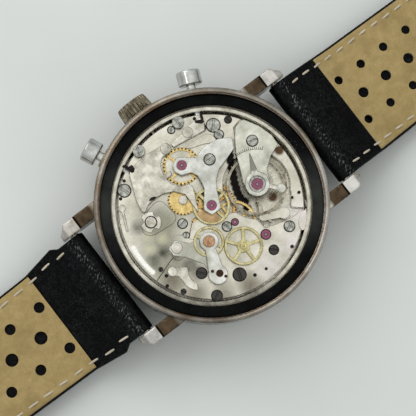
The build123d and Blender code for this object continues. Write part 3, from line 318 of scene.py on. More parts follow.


# %% [markdown]
# ** Tooth gaps.** The wheels that are seen from above are cut with deep, coarse teeth, and the gaps
# between them are painted dark as painted shade. A wave round the wheel's middle, kept only near
# the rim, is a mask of the gaps. It turns with the wheel, because it is made from the wheel's own
# coordinates.

# %% Group: tooth gaps
@shared("tooth gaps", {"Mask": 0.0}, Middle=(0.0, 0.0, 0.0), Root=2.0, Teeth=30.0)
def tooth_gaps(at):
    away = vector_maths("SUBTRACT", at["Vector"], at["Middle"])
    flat = vector_maths("MULTIPLY", away, (1.0, 1.0, 0.0))
    parts = put("SeparateXYZ", {0: flat}).outputs
    turn = maths("ARCTAN2", parts["Y"], parts["X"])
    wave = maths("SINE", times(turn, at["Teeth"]))
    past_root = maths("SUBTRACT", vector_maths("LENGTH", flat), at["Root"])
    return {"Mask": times(remap(wave, 0.0, 0.4), remap(past_root, 0.0, 0.06))}


print("shared groups:", [group.name for group in bpy.data.node_groups])


# %% [markdown]
# One function makes every metal, because polished, brushed and plated metal differ only in their
# numbers: two tones, how rough, how large the patches, which way the grain runs, and the tone of
# the edges, which is wear on some metals and painted shade on the plates, bridges, levers and
# screws. Marks are soft or sharp round spots of another colour; some are stains and polish, and
# some are painted shade and painted highlights. The coordinates are the object's own, turned into
# millimetres.

# %% Helper: a metal finish
old_oil = (0.16, 0.12, 0.08)
soft_mark = 0.5  # a mark whose edge is softer than this is also broken up


def in_millimetres(tree):
    """The object's own coordinates, in millimetres."""
    here = tree.nodes.new("ShaderNodeTexCoord").outputs["Object"]
    return put("VectorMath", {0: here, "Scale": 1 / MM}, operation="SCALE").outputs[0]


def start_material(name, **sockets):
    """A material with a Principled shader and object coordinates in millimetres."""
    material = bpy.data.materials.new(name)
    material.use_nodes = True
    tree = material.node_tree
    shader = tree.nodes["Principled BSDF"]
    for label, value in sockets.items():
        shader.inputs[label.replace("_", " ")].default_value = value
    return material, shader, in_millimetres(tree)


def reopen(material):
    """What is needed to add to a finished material's colour."""
    tree = material.node_tree
    base = tree.nodes["Principled BSDF"].inputs["Base Color"]
    return base, base.links[0].from_socket, in_millimetres(tree)


def relief(height, strength, distance, **more):
    """Bump of a height in millimetres."""
    inputs = {"Height": height, "Strength": strength, "Distance": distance * MM, **more}
    return put("Bump", inputs).outputs[0]


def wire(shader, colour, roughness=None, normal=None):
    for label, value in (("Base Color", colour), ("Roughness", roughness), ("Normal", normal)):
        if value is not None:
            shader.id_data.links.new(value, shader.inputs[label])


def metal(
    name, light, dark, roughness, patch=3.0, contrast=0.6, stretch=(1.0, 1.0, 1.0), grain=0.2, depth=0.3,
    edge_wear_and_shade=None, edge=0.12, breakup=0.2, breakup_size=1.2, dirt=0.25, spread=0.12, turned_about=None, marks=(),
):
    """A procedural metal: patchy tone, marks, grain, soft edges, edges toned by wear on some metals and by
    painted shade on others, and a little dirt.
    """
    material, shader, place = start_material(name, Metallic=1.0)
    colour = blend(patches(place, patch, contrast), dark, light)
    for spots, radius, softness, tint in marks:
        near = any_of(place, spots, radius, softness)
        if softness > soft_mark:
            cloud = times(patches(place, 1.7, 1.2), 0.65)
            near = times(near, maths("ADD", cloud, 0.25))
        colour = blend(near, colour, tint)
    lines = place
    if turned_about:
        middle = vector_maths("SUBTRACT", place, (*turned_about, 0.0))
        flat = vector_maths("MULTIPLY", middle, (1.0, 1.0, 0.0))
        radius = vector_maths("LENGTH", flat)
        lines = put("CombineXYZ", {"X": radius}).outputs[0]
    hair = use(fine_grain, lines, Stretch=stretch, Size=grain)
    rough = remap(hair["Streaks"], 0.0, 1.0, max(roughness - spread, 0.02), roughness + spread)
    rims = use(edge_wear_and_shade_group, place, Width=edge * MM, Breakup=breakup, Size=breakup_size)
    if edge_wear_and_shade:
        colour = blend(rims["Mask"], colour, edge_wear_and_shade)
    colour = blend(times(dots(place, 0.5, dirt), 0.7), colour, old_oil)
    wire(shader, colour, rough, relief(hair["Height"], depth, 0.01, Normal=rims["Normal"]))
    return material


# %% [markdown]
# The case is plated brass, polished long ago. Where hands touched it, brown shows through the
# plating at every edge. The crown and pushers are solid steel, so they stay bright.

# %% Case metals
case_plating = metal(
    "case_plating", (0.5, 0.475, 0.43), (0.24, 0.22, 0.19), 0.2, patch=2.6, contrast=0.9, grain=0.35,
    depth=0.5, edge_wear_and_shade=(0.3, 0.19, 0.11), edge=0.45, breakup=0.75, breakup_size=2.2, dirt=0.8,
    marks=(  # a painted highlight on one side of the case and lugs, painted shade on the opposite side, and brown where the plating has gone
        (((15.9, -13.5), (19.5, -7.0), (10.0, -18.2), (22.6, -11.0)), 5.0, 4.0, (0.78, 0.77, 0.73)),
        (((-19.0, -12.5), (-22.5, -11.0), (-12.5, -17.0), (-16.5, -14.0)), 5.0, 2.5, (0.055, 0.05, 0.045)),
        (((-8.0, 19.5), (-14.0, 15.0), (-18.0, 10.0), (0.0, 21.0)), 4.5, 3.5, (0.2, 0.13, 0.065)),
    ),
)


def darken_lug_roots(material):
    """Brown, unpolished roots of the four lugs, with a dark line where the bright tips begin."""
    base, plating, place = reopen(material)
    at = put("SeparateXYZ", {0: place}).outputs
    along, across = maths("ABSOLUTE", at["X"]), maths("ABSOLUTE", at["Y"])
    on_lug = times(remap(across, 9.5, 9.8), remap(at["Z"], 11.3, 11.0))
    root = times(remap(along, 15.6, 16.2), remap(along, 19.2, 19.1), on_lug)
    line = times(remap(along, 18.95, 19.05), remap(along, 19.4, 19.3), on_lug)
    tip = times(remap(along, 19.3, 19.4), on_lug, 0.65)
    mottle = patches(place, 1.6, 1.0)
    bright = blend(times(tip, maths("ADD", mottle, 0.3)), plating, (0.84, 0.82, 0.78))
    brown = blend(mottle, (0.035, 0.025, 0.018), (0.17, 0.125, 0.08))
    colour = blend(line, blend(root, bright, brown), (0.012, 0.01, 0.008))
    base.id_data.links.new(colour, base)


darken_lug_roots(case_plating)
crown_steel = metal(
    "crown_steel", (0.3, 0.275, 0.21), (0.1, 0.09, 0.06), 0.2, patch=1.0, grain=0.15,
    edge_wear_and_shade=(0.34, 0.26, 0.18), edge=0.15, breakup=0.6, breakup_size=0.8, dirt=0.5,
)
pusher_steel = metal(
    "pusher_steel", (0.68, 0.69, 0.67), (0.48, 0.48, 0.46), 0.1, patch=1.6, grain=0.4, depth=0.15, edge=0.2,
    spread=0.05, dirt=0.3,
)
neck_brass = metal("neck_brass", (0.5, 0.44, 0.28), (0.24, 0.2, 0.1), 0.3, patch=0.8, contrast=1.0, dirt=0.8)

# %% [markdown]
# Plates and bridges are rhodium plated: a warm silver with the lightest grain. The chronograph
# bridge and the clutch are cooler and brighter, because steel is harder and takes a mirror polish.

# %% Movement metals
def arc(middle, radius, degrees):
    """Points on a circle at the given angles."""
    turns = [math.radians(angle) for angle in degrees]
    return [(middle[0] + radius * math.cos(turn), middle[1] + radius * math.sin(turn)) for turn in turns]


balance_at, seconds_at, counter_at = (8.05, -1.75), (0.1, 8.2), (0.2, -8.4)
polished_rim = arc((0.0, 0.0), 14.5, range(171, 192, 2))
cock_edge = [
    (8.0, 5.6), (7.5, 4.8), (7.1, 4.0), (6.8, 3.2), (6.4, 2.4), (6.0, 1.6),
    (5.6, 0.8), (5.3, 0.0), (5.0, -0.8), (4.9, -1.6), (5.1, -2.6), (4.7, -3.8),
]
plate_silver = metal(
    "plate_silver", (0.9, 0.865, 0.765), (0.43, 0.41, 0.33), 0.26, patch=3.4, contrast=0.95,
    stretch=(1.0, 7.0, 1.0), grain=0.25, depth=0.25, edge=0.2, dirt=0.45, spread=0.14,
    # near-black painted shade along the edges
    edge_wear_and_shade=(0.045, 0.04, 0.03), breakup=0.1,
    marks=(
        # the barrel bridge's dull side, shade below it, and old oil along the rim
        (((-10.2, 0.2), (-8.6, 2.8), (-11.5, -2.6)), 5.4, 3.6, (0.17, 0.175, 0.125)),
        (((-8.7, -5.7), (-8.4, -7.2)), 1.7, 1.0, (0.035, 0.032, 0.03)),
        (((-10.6, -9.9), (-7.2, -12.9), (-3.0, -14.2), (-12.9, -6.3)), 2.9, 2.2, (0.1, 0.075, 0.05)),
        # a bright polish, shade beside the balance cock, and two spots of oil
        (((6.8, -13.0), (1.5, -13.6), (11.2, -9.9)), 3.2, 2.8, (0.8, 0.735, 0.75)),
        (cock_edge, 0.92, 0.34, (0.02, 0.018, 0.016)),
        (((9.2, -4.8), (14.6, 0.6)), 1.0, 0.45, (0.13, 0.085, 0.05)),
        # dark clouds and a yellow gloss on the barrel bridge, and the polished rim
        (((-11.7, 4.6), (-10.8, -1.3), (-9.2, -2.6), (-12.9, -1.4)), 1.6, 1.3, (0.045, 0.047, 0.04)),
        (((-11.3, 2.2), (-12.3, 0.6), (-9.6, 0.7)), 1.3, 1.1, (0.66, 0.64, 0.45)),
        (polished_rim, 0.55, 0.3, (0.96, 0.95, 0.9)),
    ),
)
bridge_silver = metal(
    "bridge_silver", (0.84, 0.84, 0.79), (0.5, 0.5, 0.45), 0.2, patch=2.0,
    stretch=(6.0, 1.0, 1.0), grain=0.3, depth=0.2, edge=0.24, dirt=0.15, spread=0.08,
    # near-black painted shade along the edges
    edge_wear_and_shade=(0.045, 0.045, 0.04), breakup=0.05,
    marks=((((-7.6, -3.4), (-6.2, -4.6), (-7.0, -6.0)), 2.3, 1.0, (0.4, 0.39, 0.31)),),
)
cock_silver = metal(
    "cock_silver", (0.78, 0.77, 0.68), (0.46, 0.46, 0.38), 0.24, patch=2.4,
    stretch=(1.0, 5.0, 1.0), grain=0.25, depth=0.25, edge=0.22, dirt=0.3, spread=0.1,
    # near-black painted shade along the edges
    edge_wear_and_shade=(0.05, 0.045, 0.035), breakup=0.05,
)
lever_steel = metal(
    "lever_steel", (0.86, 0.83, 0.74), (0.42, 0.4, 0.33), 0.24, patch=1.6,
    # near-black painted shade along the edges
    stretch=(8.0, 1.0, 1.0), edge=0.24, dirt=0.3, edge_wear_and_shade=(0.035, 0.03, 0.025), breakup=0.05,
)
dark_screws = [
    (-3.15, -11.7), (3.8, -11.9), (-7.95, -7.75), (-12.15, -8.35), (-8.2, -12.2), (-12.9, -3.2),
    (10.9, 9.7), (6.5, -13.3),
]
screw_steel = metal(
    "screw_steel", (0.64, 0.64, 0.59), (0.24, 0.24, 0.21), 0.18, patch=0.6, grain=0.12, edge=0.16, dirt=0.3,
    # near-black painted shade along the edges
    edge_wear_and_shade=(0.015, 0.015, 0.013), breakup=0.1, marks=((dark_screws, 1.2, 0.05, (0.085, 0.082, 0.076)),),
)
screw_dark = metal(
    "screw_dark", (0.05, 0.048, 0.045), (0.015, 0.014, 0.013), 0.24, patch=0.7, grain=0.1, edge=0.08,
    edge_wear_and_shade=(0.14, 0.12, 0.1), breakup=0.6, dirt=0.2,
)
wheel_gilt = metal(
    "wheel_gilt", (0.88, 0.7, 0.34), (0.58, 0.42, 0.17), 0.24, patch=0.9, grain=0.12, edge=0.09, dirt=0.4,
    edge_wear_and_shade=(0.2, 0.12, 0.04),
)
wheel_orange = metal(
    "wheel_orange", (0.88, 0.58, 0.24), (0.55, 0.32, 0.11), 0.26, patch=1.0, grain=0.12, edge=0.09, dirt=0.4,
    edge_wear_and_shade=(0.22, 0.11, 0.03),
)
wheel_pale = metal(
    "wheel_pale", (0.76, 0.69, 0.42), (0.44, 0.39, 0.19), 0.24, patch=0.8, grain=0.12, edge=0.1, dirt=0.4,
    edge_wear_and_shade=(0.13, 0.1, 0.04),
)
copper = metal(
    "copper", (0.62, 0.4, 0.26), (0.36, 0.2, 0.11), 0.26, patch=0.6, grain=0.1, edge=0.1, dirt=0.3,
    edge_wear_and_shade=(0.1, 0.06, 0.03), marks=((((-5.7, -9.6),), 2.2, 0.1, (0.07, 0.045, 0.03)),),
)
segment_tan = metal(
    "segment_tan", (0.6, 0.43, 0.25), (0.36, 0.24, 0.12), 0.24, patch=1.0, edge=0.1,
    edge_wear_and_shade=(0.14, 0.09, 0.05), dirt=0.2,
)
index_steel = metal(
    "index_steel", (0.82, 0.81, 0.74), (0.45, 0.44, 0.38), 0.2, patch=0.9, grain=0.15,
    # near-black painted shade along the edges
    edge=0.18, edge_wear_and_shade=(0.04, 0.04, 0.035), breakup=0.05, dirt=0.2,
    marks=((((9.5, 2.6), (9.4, 1.8), (9.25, 1.0)), 0.9, 0.2, (0.3, 0.3, 0.26)),),
)
balance_steel = metal(
    "balance_steel", (0.56, 0.52, 0.42), (0.16, 0.13, 0.09), 0.18, patch=1.4, edge=0.06,
    turned_about=balance_at, dirt=0.2,
)
ring_steel = metal(
    "ring_steel", (0.8, 0.77, 0.68), (0.46, 0.44, 0.36), 0.2, patch=2.0, grain=0.3, edge=0.2,
    edge_wear_and_shade=(0.12, 0.1, 0.07), dirt=0.4,
    # painted shade: the lower arc of the ring is darkened as if in shadow
    marks=((((-10.6, -13.9), (-15.0, -9.0), (-4.5, -17.0)), 7.5, 5.0, (0.02, 0.018, 0.015)),),
)


# %% Paint shade into the gaps between the wheels' teeth
def cut_gaps(material, node, teeth, depth, dark):
    """Paint shade into the gaps between one wheel's teeth in a finish that several wheels share."""
    low, high = box_mm(node)
    middle, tip = (low + high) / 2, (high.y - low.y) / 2
    middle.z = 0.0
    base, before, place = reopen(material)
    gaps = use(tooth_gaps, place, Middle=middle, Root=tip - depth, Teeth=teeth)["Mask"]
    inside = use(near_place, place, Place=middle, Radius=tip + 0.1, Softness=0.05)["Mask"]
    base.id_data.links.new(blend(times(gaps, inside), before, dark), base)
    print(node, "tip radius", round(tip, 2), "middle", round(middle.x, 2), round(middle.y, 2))


cut_gaps(wheel_gilt, "minute_recorder", 30, 0.42, (0.1, 0.06, 0.025))
cut_gaps(wheel_gilt, "intermediate_wheel", 26, 0.38, (0.14, 0.09, 0.035))
cut_gaps(wheel_orange, "centre_wheel", 54, 0.36, (0.12, 0.055, 0.02))
cut_gaps(wheel_pale, "driving_wheel", 60, 0.16, (0.14, 0.12, 0.05))
cut_gaps(wheel_pale, "coupling_wheel", 48, 0.16, (0.14, 0.12, 0.05))

# %% [markdown]
# Rubies, rubber and glass are not metals. The synthetic ruby is a deep magenta with a clear coat.
# The gasket is black rubber with a painted grey sheen on two opposite sides. The crystal is clear.

# %% Ruby, rubber and glass
def make_ruby():
    material, shader, place = start_material("ruby", Coat_Weight=1.0, IOR=1.76)
    mask = patches(place, 0.4, 1.2)
    colour = blend(mask, (0.06, 0.002, 0.02), (0.36, 0.02, 0.13))
    middles = ((0.0, 0.0), seconds_at, balance_at, (4.3, -9.1), (1.5, -4.4))
    # painted shade: a dark ring for the hole round each pivot
    hole_shade = any_of(place, middles, 0.32, 0.06)
    pivot = any_of(place, middles, 0.15, 0.06)
    colour = blend(pivot, blend(hole_shade, colour, (0.02, 0.001, 0.006)), (0.55, 0.34, 0.42))
    wire(shader, colour, remap(mask, 0.0, 1.0, 0.08, 0.16))
    return material


def make_rubber():
    material, shader, place = start_material("gasket_rubber", Specular_IOR_Level=0.07)
    mask = patches(place, 2.4, 0.9)
    colour = blend(mask, (0.002, 0.002, 0.002), (0.009, 0.01, 0.01))
    colour = blend(times(dots(place, 0.6, 0.7), 0.5), colour, (0.1, 0.1, 0.1))
    # painted sheen: soft grey highlights on two opposite sides of the ring
    painted_sheen = any_of(place, ((-14.0, 10.6), (14.2, -10.2)), 9.0, 8.5)
    colour = blend(times(painted_sheen, maths("ADD", mask, 0.5)), colour, (0.045, 0.048, 0.045))
    hair = use(fine_grain, place, Stretch=(1.0, 1.0, 1.0), Size=0.3)
    bump = relief(hair["Height"], 0.25, 0.02)
    wire(shader, colour, remap(mask, 0.0, 1.0, 0.34, 0.5), bump)
    return material


def make_glass():
    material, shader, place = start_material("watch_glass", Transmission_Weight=1.0, IOR=1.49)
    mask = dots(place, 0.8, 0.4)
    colour = blend(mask, (1.0, 1.0, 1.0), (0.93, 0.94, 0.94))
    wire(shader, colour, remap(mask, 0.0, 1.0, 0.02, 0.12))
    return material


ruby, gasket_rubber, watch_glass = make_ruby(), make_rubber(), make_glass()

# %% [markdown]
# The dial is silvered and grained in circles, and its hands are black baton hands.

# %% Dial and hands
dial_silver = metal(
    "dial_silver", (0.78, 0.76, 0.72), (0.66, 0.64, 0.6), 0.4, patch=5.0, contrast=0.4,
    stretch=(9.0, 1.0, 1.0), grain=0.15, turned_about=(0.0, 0.0), edge=0.05, dirt=0.1,
)
hand_black = metal("hand_black", (0.06, 0.06, 0.065), (0.03, 0.03, 0.035), 0.2, patch=1.0, edge=0.05, dirt=0.1)

# %% [markdown]
# Each ready-made piece now gets its finish by name. Only the material slot changes: shapes and
# places stay as the watchmaker set them.

# %% Give every ready-made piece its finish
finish_of = {
    case_plating: ["case_middle", "bezel"],
    crown_steel: ["crown", "buckle_frame", "buckle_tongue"],
    pusher_steel: ["start_pusher", "reset_pusher"],
    neck_brass: ["guide_tubes"],
    plate_silver: ["main_plate", "barrel_bridge", "train_bridge", "pallet_cock"],
    ring_steel: ["movement_ring"],
    cock_silver: ["balance_cock"],
    bridge_silver: ["chronograph_bridge", "clutch_lever"],
    lever_steel: [
        "hammer", "operating_lever", "switching_cam", "brake_lever", "posts_and_springs",
        "winding_stem", "winding_pinion", "crown_wheel", "ratchet_wheel", "pallet_fork", "escape_wheel",
        "mainspring", "hairspring", "spring_bars",
    ],
    wheel_gilt: [
        "minute_recorder", "intermediate_wheel", "third_wheel", "fourth_wheel", "barrel", "hour_wheel",
        "minute_wheel",
    ],
    wheel_orange: ["centre_wheel"],
    wheel_pale: ["driving_wheel", "coupling_wheel", "chronograph_runner"],
    copper: ["clutch_screws"],
    index_steel: ["regulator"],
    balance_steel: ["balance_wheel"],
    screw_steel: ["screws"],
    ruby: ["jewels"],
    gasket_rubber: ["back_gasket"],
    watch_glass: ["crystal"],
    dial_silver: ["dial"],
    hand_black: ["hour_hand", "minute_hand", "chrono_hand", "seconds_hand", "counter_hand"],
}
for finish, names in finish_of.items():
    for name in names:
        nodes[name].data.materials.clear()
        nodes[name].data.materials.append(finish)
        soften(nodes[name], 32)
print("finishes given:", sum(len(names) for names in finish_of.values()))

# %% [markdown]
# A watchmaker's plate carries more than its screws: each screw gets a dark ring of painted shade
# for its countersink, the balance cock has a scale for the index, thin steel plates lie on the
# bridges, and dark plates shaped as spring tips are painted shade in the slots. These are cut from
# flat outlines. An outline becomes a thin plate with softened corners by a curve that is filled and
# given thickness and a small bevel.

# %% Helper: a thin plate from its outline
bridge_top, barrel_top, cock_top = 9.0, 9.46, 10.8


def thin_plate(name, outlines, low, high, bevel=0.05, smooth=True):
    """Filled curve between two heights; later outlines inside the first become holes."""
    curve = bpy.data.curves.new(name, "CURVE")
    curve.dimensions, curve.fill_mode = "2D", "BOTH"
    curve.resolution_u = 6
    for points in outlines:
        spline = curve.splines.new("NURBS" if smooth else "POLY")
        spline.points.add(len(points) - 1)
        for target, (x, y) in zip(spline.points, points):
            target.co = (x * MM, y * MM, 0, 1)
        spline.use_cyclic_u = True
        spline.order_u = 3
    curve.extrude = max((high - low) / 2 - bevel, 0.001) * MM
    curve.bevel_depth = bevel * MM
    curve.bevel_resolution = 1
    source = add_object(name, curve)
    mesh = evaluated_mesh(source)
    mesh.transform(Matrix.Translation((0, 0, (low + high) / 2 * MM)))
    bpy.data.objects.remove(source)
    return soften(add_object(name, mesh), 50)


def round_points(x, y, radius, count=24):
    return arc((x, y), radius, [360 / count * i for i in range(count)])


def stroke(middle, degrees, inner, outer, half):
    """Corners of one straight mark that points away from a middle."""
    turn = math.radians(degrees)
    way = Vector((math.cos(turn), math.sin(turn)))
    side = Vector((-way.y, way.x)) * half
    corners = ((inner, 1), (outer, 1), (outer, -1), (inner, -1))
    return [tuple(Vector(middle) + way * reach + side * sign) for reach, sign in corners]


def band(middle, inner, outer, degrees):
    """Outline of part of a ring."""
    degrees = list(degrees)
    return arc(middle, outer, degrees) + arc(middle, inner, degrees[::-1])


def join_pieces(name, pieces):
    """Several pieces as one mesh object."""
    work = bmesh.new()
    for piece in pieces:
        work.from_mesh(piece.data)
        bpy.data.objects.remove(piece)
    return bmesh_piece(name, work, 50)


# %% [markdown]
# The dial looks the other way, down through the crystal. Twelve o'clock is along +X and three
# o'clock along +Y. The minute track and the two small scales are printed in black, the hour batons
# are polished steel, and the two broad hands carry a strip of luminous paint.

# %% Dial markers, small scales and luminous fill
dial_face = box_mm("dial")[0].z
dial_middle = (0.0, 0.0)


def make_minute_track():
    marks = []
    for i in range(60):
        outer, half = (14.4, 0.06) if i % 5 else (14.6, 0.12)
        marks.append(stroke(dial_middle, 6 * i, 13.7, outer, half))
    for middle in (counter_at, seconds_at):
        marks += [round_points(*middle, 3.5, 48), round_points(*middle, 3.42, 48)]
        marks += [stroke(middle, 12 * i, 3.0 if i % 5 else 2.7, 3.4, 0.05) for i in range(30)]
    return thin_plate("minute_track", marks, dial_face - 0.03, dial_face, 0.005, False)


def make_hour_batons():
    marks = [stroke(dial_middle, 30 * i, 11.9, 13.4, 0.32) for i in range(12)]
    marks += [stroke(dial_middle, 30 * i, 10.4, 11.6, 0.32) for i in (0, 6)]
    return thin_plate("hour_batons", marks, dial_face - 0.25, dial_face, 0.06, False)


def make_luminous_fill(hand, degrees, inner, outer, half):
    low = box_mm(hand)[0].z
    strip = stroke(dial_middle, degrees, inner, outer, half)
    return thin_plate(hand + "_fill", [strip], low - 0.04, low, 0.01, False)


def make_luminous_paint():
    material, shader, place = start_material("luminous_paint", Roughness=0.7)
    mask = patches(place, 0.8, 0.9)
    wire(shader, blend(mask, (0.55, 0.45, 0.24), (0.72, 0.66, 0.44)))
    return material


luminous_paint = make_luminous_paint()
settle(make_minute_track(), "case", "hand", hand_black)
settle(make_hour_batons(), "case", "steel", pusher_steel)
settle(make_luminous_fill("hour_hand", 120, 2.6, 7.2, 0.24), "hour", "hand", luminous_paint)
settle(make_luminous_fill("minute_hand", -30, 3.0, 11.4, 0.2), "centre", "hand", luminous_paint)
print("dial marked; face at", round(dial_face, 2))


# %% [markdown]
# The countersinks are dark rings of painted shade, a little wider than the screw, and dark discs of
# painted shade stand where holes open in the bridges. They make a screw read as set into the plate
# instead of glued on it.

# %% Painted shade for countersinks and holes
def make_screw_shade_rings():
    raised = {(4.3, 6.2): cock_top, (11.75, 4.4): cock_top, (-9.5, 3.9): barrel_top}
    rings = []
    # painted shade: a dark ring round each screw
    for x, y, radius in (
        (-9.8, 10.7, 1.03), (8.2, 8.65, 0.75), (8.4, 10.45, 1.1), (2.4, 14.0, 0.55), (-5.5, 0.6, 0.75),
        (-6.2, -1.3, 0.5), (0.0, -4.2, 0.75), (8.2, -10.4, 0.85), (-3.15, -11.7, 1.05), (3.8, -11.9, 0.75),
        (-7.95, -7.75, 0.85), (-8.2, -12.2, 0.85), (10.9, 9.7, 0.54), (4.3, 6.2, 0.88), (11.75, 4.4, 0.88),
        (4.3, -9.1, 0.77), (1.5, -4.4, 0.52), (-9.5, 3.9, 0.92),
    ):
        level = raised.get((x, y), bridge_top)
        outlines = [round_points(x, y, radius + 0.13), round_points(x, y, radius - 0.05)]
        rings.append(thin_plate("ring", outlines, level - 0.02, level + 0.03, 0.008, False))
    # painted shade: dark discs where holes open in the bridges
    for x, y, radius in (
        (-7.5, -3.6, 0.42), (-12.8, -4.6, 0.3), (-13.7, -6.0, 0.3), (6.6, 13.2, 0.28), (-11.1, 10.0, 0.28),
        (-8.85, 12.0, 0.28), (12.9, -6.9, 0.25), (-1.2, -13.3, 0.3), (0.9, -13.6, 0.25), (11.5, -6.9, 0.22),
    ):
        hole_shade = [round_points(x, y, radius)]
        rings.append(thin_plate("hole_shade", hole_shade, bridge_top - 0.02, bridge_top + 0.02, 0.008, False))
    return join_pieces("screw_shade_rings", rings)


# %% Slot shade, small plates and the index scale
def make_slot_shade_plates():
    """Dark plates of painted shade in the slots beside the lever tails, shaped as bent spring tips, and a dark
    crescent of painted shade in a hollow.
    """
    right = [(8.1, 13.2), (7.75, 13.3), (7.25, 12.35), (6.4, 12.85), (6.2, 12.5), (7.0, 11.75), (7.45, 11.75)]
    left = [
        (-7.75, 14.0), (-7.4, 14.05), (-6.9, 13.3), (-6.35, 13.25), (-6.3, 12.5), (-6.75, 12.1), (-7.1, 12.2),
    ]
    crescent = [(-7.9, 6.9), (-6.9, 7.1), (-6.2, 6.6), (-6.9, 6.45)]
    pieces = [
        thin_plate("spring", [right], 9.78, 9.88, 0.02, False),
        thin_plate("spring", [left], 10.16, 10.26, 0.02, False),
        thin_plate("hollow_shade", [crescent], 10.141, 10.16, 0.004),
    ]
    return join_pieces("slot_shade_plates", pieces)


def make_small_plates():
    """Thin steel plates on the bridges: click cover, setting spring and cam covers."""
    outlines = (
        (0.14, [
            (-6.7, 6.1), (-5.9, 5.6), (-5.6, 3.4), (-5.6, 2.0), (-6.6, 1.5), (-8.4, 1.7), (-10.9, 2.0),
            (-11.7, 3.4), (-10.6, 5.0), (-8.3, 5.9),
        ]),
        (0.05, [
            (-9.9, -1.6), (-8.2, -0.2), (-6.9, -0.4), (-6.0, -2.3), (-4.6, -3.9), (-6.4, -5.6), (-8.0, -4.0),
            (-10.2, -3.9),
        ]),
        (0.14, [(2.0, 10.3), (4.9, 10.2), (7.3, 9.9), (7.4, 7.5), (5.5, 8.9), (3.4, 9.5)]),
        (0.1, [(9.3, -11.4), (10.6, -9.9), (12.6, -9.8), (13.2, -7.9), (11.4, -11.2), (9.5, -12.6)]),
    )
    pieces = [
        thin_plate("plate", [points], bridge_top, bridge_top + thick, 0.04) for thick, points in outlines
    ]
    return join_pieces("small_plates", pieces)


def make_index_scale():
    """Arc and short strokes on the balance cock, where the index points."""
    marks = [stroke(balance_at, 44 + 3.2 * i, 5.75, 6.1 if i % 7 else 6.3, 0.035) for i in range(15)]
    marks.append(band(balance_at, 5.72, 5.78, [44 + 2.8 * i for i in range(17)]))
    low, high = cock_top - 0.01, cock_top + 0.012
    pieces = [thin_plate("mark", [points], low, high, 0.004, False) for points in marks]
    return join_pieces("index_scale", pieces)


def make_index_cap():
    """Polished cap ring that holds the index round the balance jewel."""
    outlines = [round_points(*balance_at, 1.32, 40), round_points(*balance_at, 0.98, 40)]
    return thin_plate("index_cap", outlines, cock_top - 0.05, cock_top + 0.2, 0.05, False)


def make_runner_segment():
    """Coppery counterweight between two spokes of the chronograph runner."""
    outline = band((0.0, 0.0), 1.2, 2.72, range(168, 267, 7))
    return thin_plate("runner_segment", [outline], 9.72, 9.8, 0.02, False)


settle(make_screw_shade_rings(), "case", "dark_steel", screw_dark)
settle(make_slot_shade_plates(), "case", "dark_steel", screw_dark)
settle(make_small_plates(), "case", "plate", plate_silver)
settle(make_index_scale(), "case", "dark_steel", screw_dark)
settle(make_index_cap(), "case", "steel", screw_steel)
settle(make_runner_segment(), "runner", "copper", segment_tan)
print("movement details added")


# %% [markdown]
# **Leather creases.** Calf leather that has been bent round a wrist for years breaks into fine
# cells, with longer creases across the strap where it bends. Cells come from the edges of a Voronoi
# texture whose coordinates are pushed about by noise. The creases are narrow valleys of a noise
# that is stretched across the strap.

# %% Group: leather creases
@shared("leather creases", {"Height": 0.0, "Valleys": 0.0}, Cell=0.7, Crease=2.4, Strength=0.6)
def leather_creases(at):
    push = put("TexNoise", {"Vector": at["Vector"], "Scale": 0.9, "Detail": 2.0}).outputs["Color"]
    moved = vector_maths("ADD", at["Vector"], vector_maths("MULTIPLY", push, (0.8, 0.8, 0.8)))
    cell_scale = scale_of(at["Cell"])
    cells = put("TexVoronoi", {"Vector": moved, "Scale": cell_scale}, feature="DISTANCE_TO_EDGE")
    grain = remap(cells.outputs["Distance"], 0.0, 0.16)
    across = vector_maths("MULTIPLY", moved, (1.0, 0.22, 0.6))
    folds = noise(across, scale_of(at["Crease"]), Detail=3.0, Roughness=0.6)
    ridge = maths("ABSOLUTE", maths("SUBTRACT", folds, 0.5))
    valley = remap(ridge, 0.0, 0.05)
    height = maths("ADD", grain, times(at["Strength"], 2.0, valley))
    return {"Height": height, "Valleys": remap(valley, 1.0, 0.0)}


# %% [markdown]
# **Suede nap.** The lining is leather with the flesh side out. Short fibres lie in different ways,
# which gives small soft patches of light and dark, and sweat leaves broad faint stains.

# %% Group: suede nap
@shared("suede nap", {"Height": 0.0, "Lay": 0.0, "Stain": 0.0}, Fibre=0.12, Brush=1.6)
def suede_nap(at):
    fibres = noise(at["Vector"], scale_of(at["Fibre"]), Detail=3.0, Roughness=0.75)
    scale = scale_of(at["Brush"])
    lay = noise(at["Vector"], scale, Detail=4.0, Roughness=0.7)
    broad = noise(at["Vector"], times(scale, 0.3))
    return {"Height": fibres, "Lay": remap(lay, 0.36, 0.66), "Stain": remap(broad, 0.52, 0.68)}


# %% [markdown]
# Black leather is glossy and dull in its creases, with painted highlights beside the bar and on
# fine crease lines. The suede has no gloss, only a little sheen from its fibres. The thread is
# waxed linen, off-white and slightly grubby.

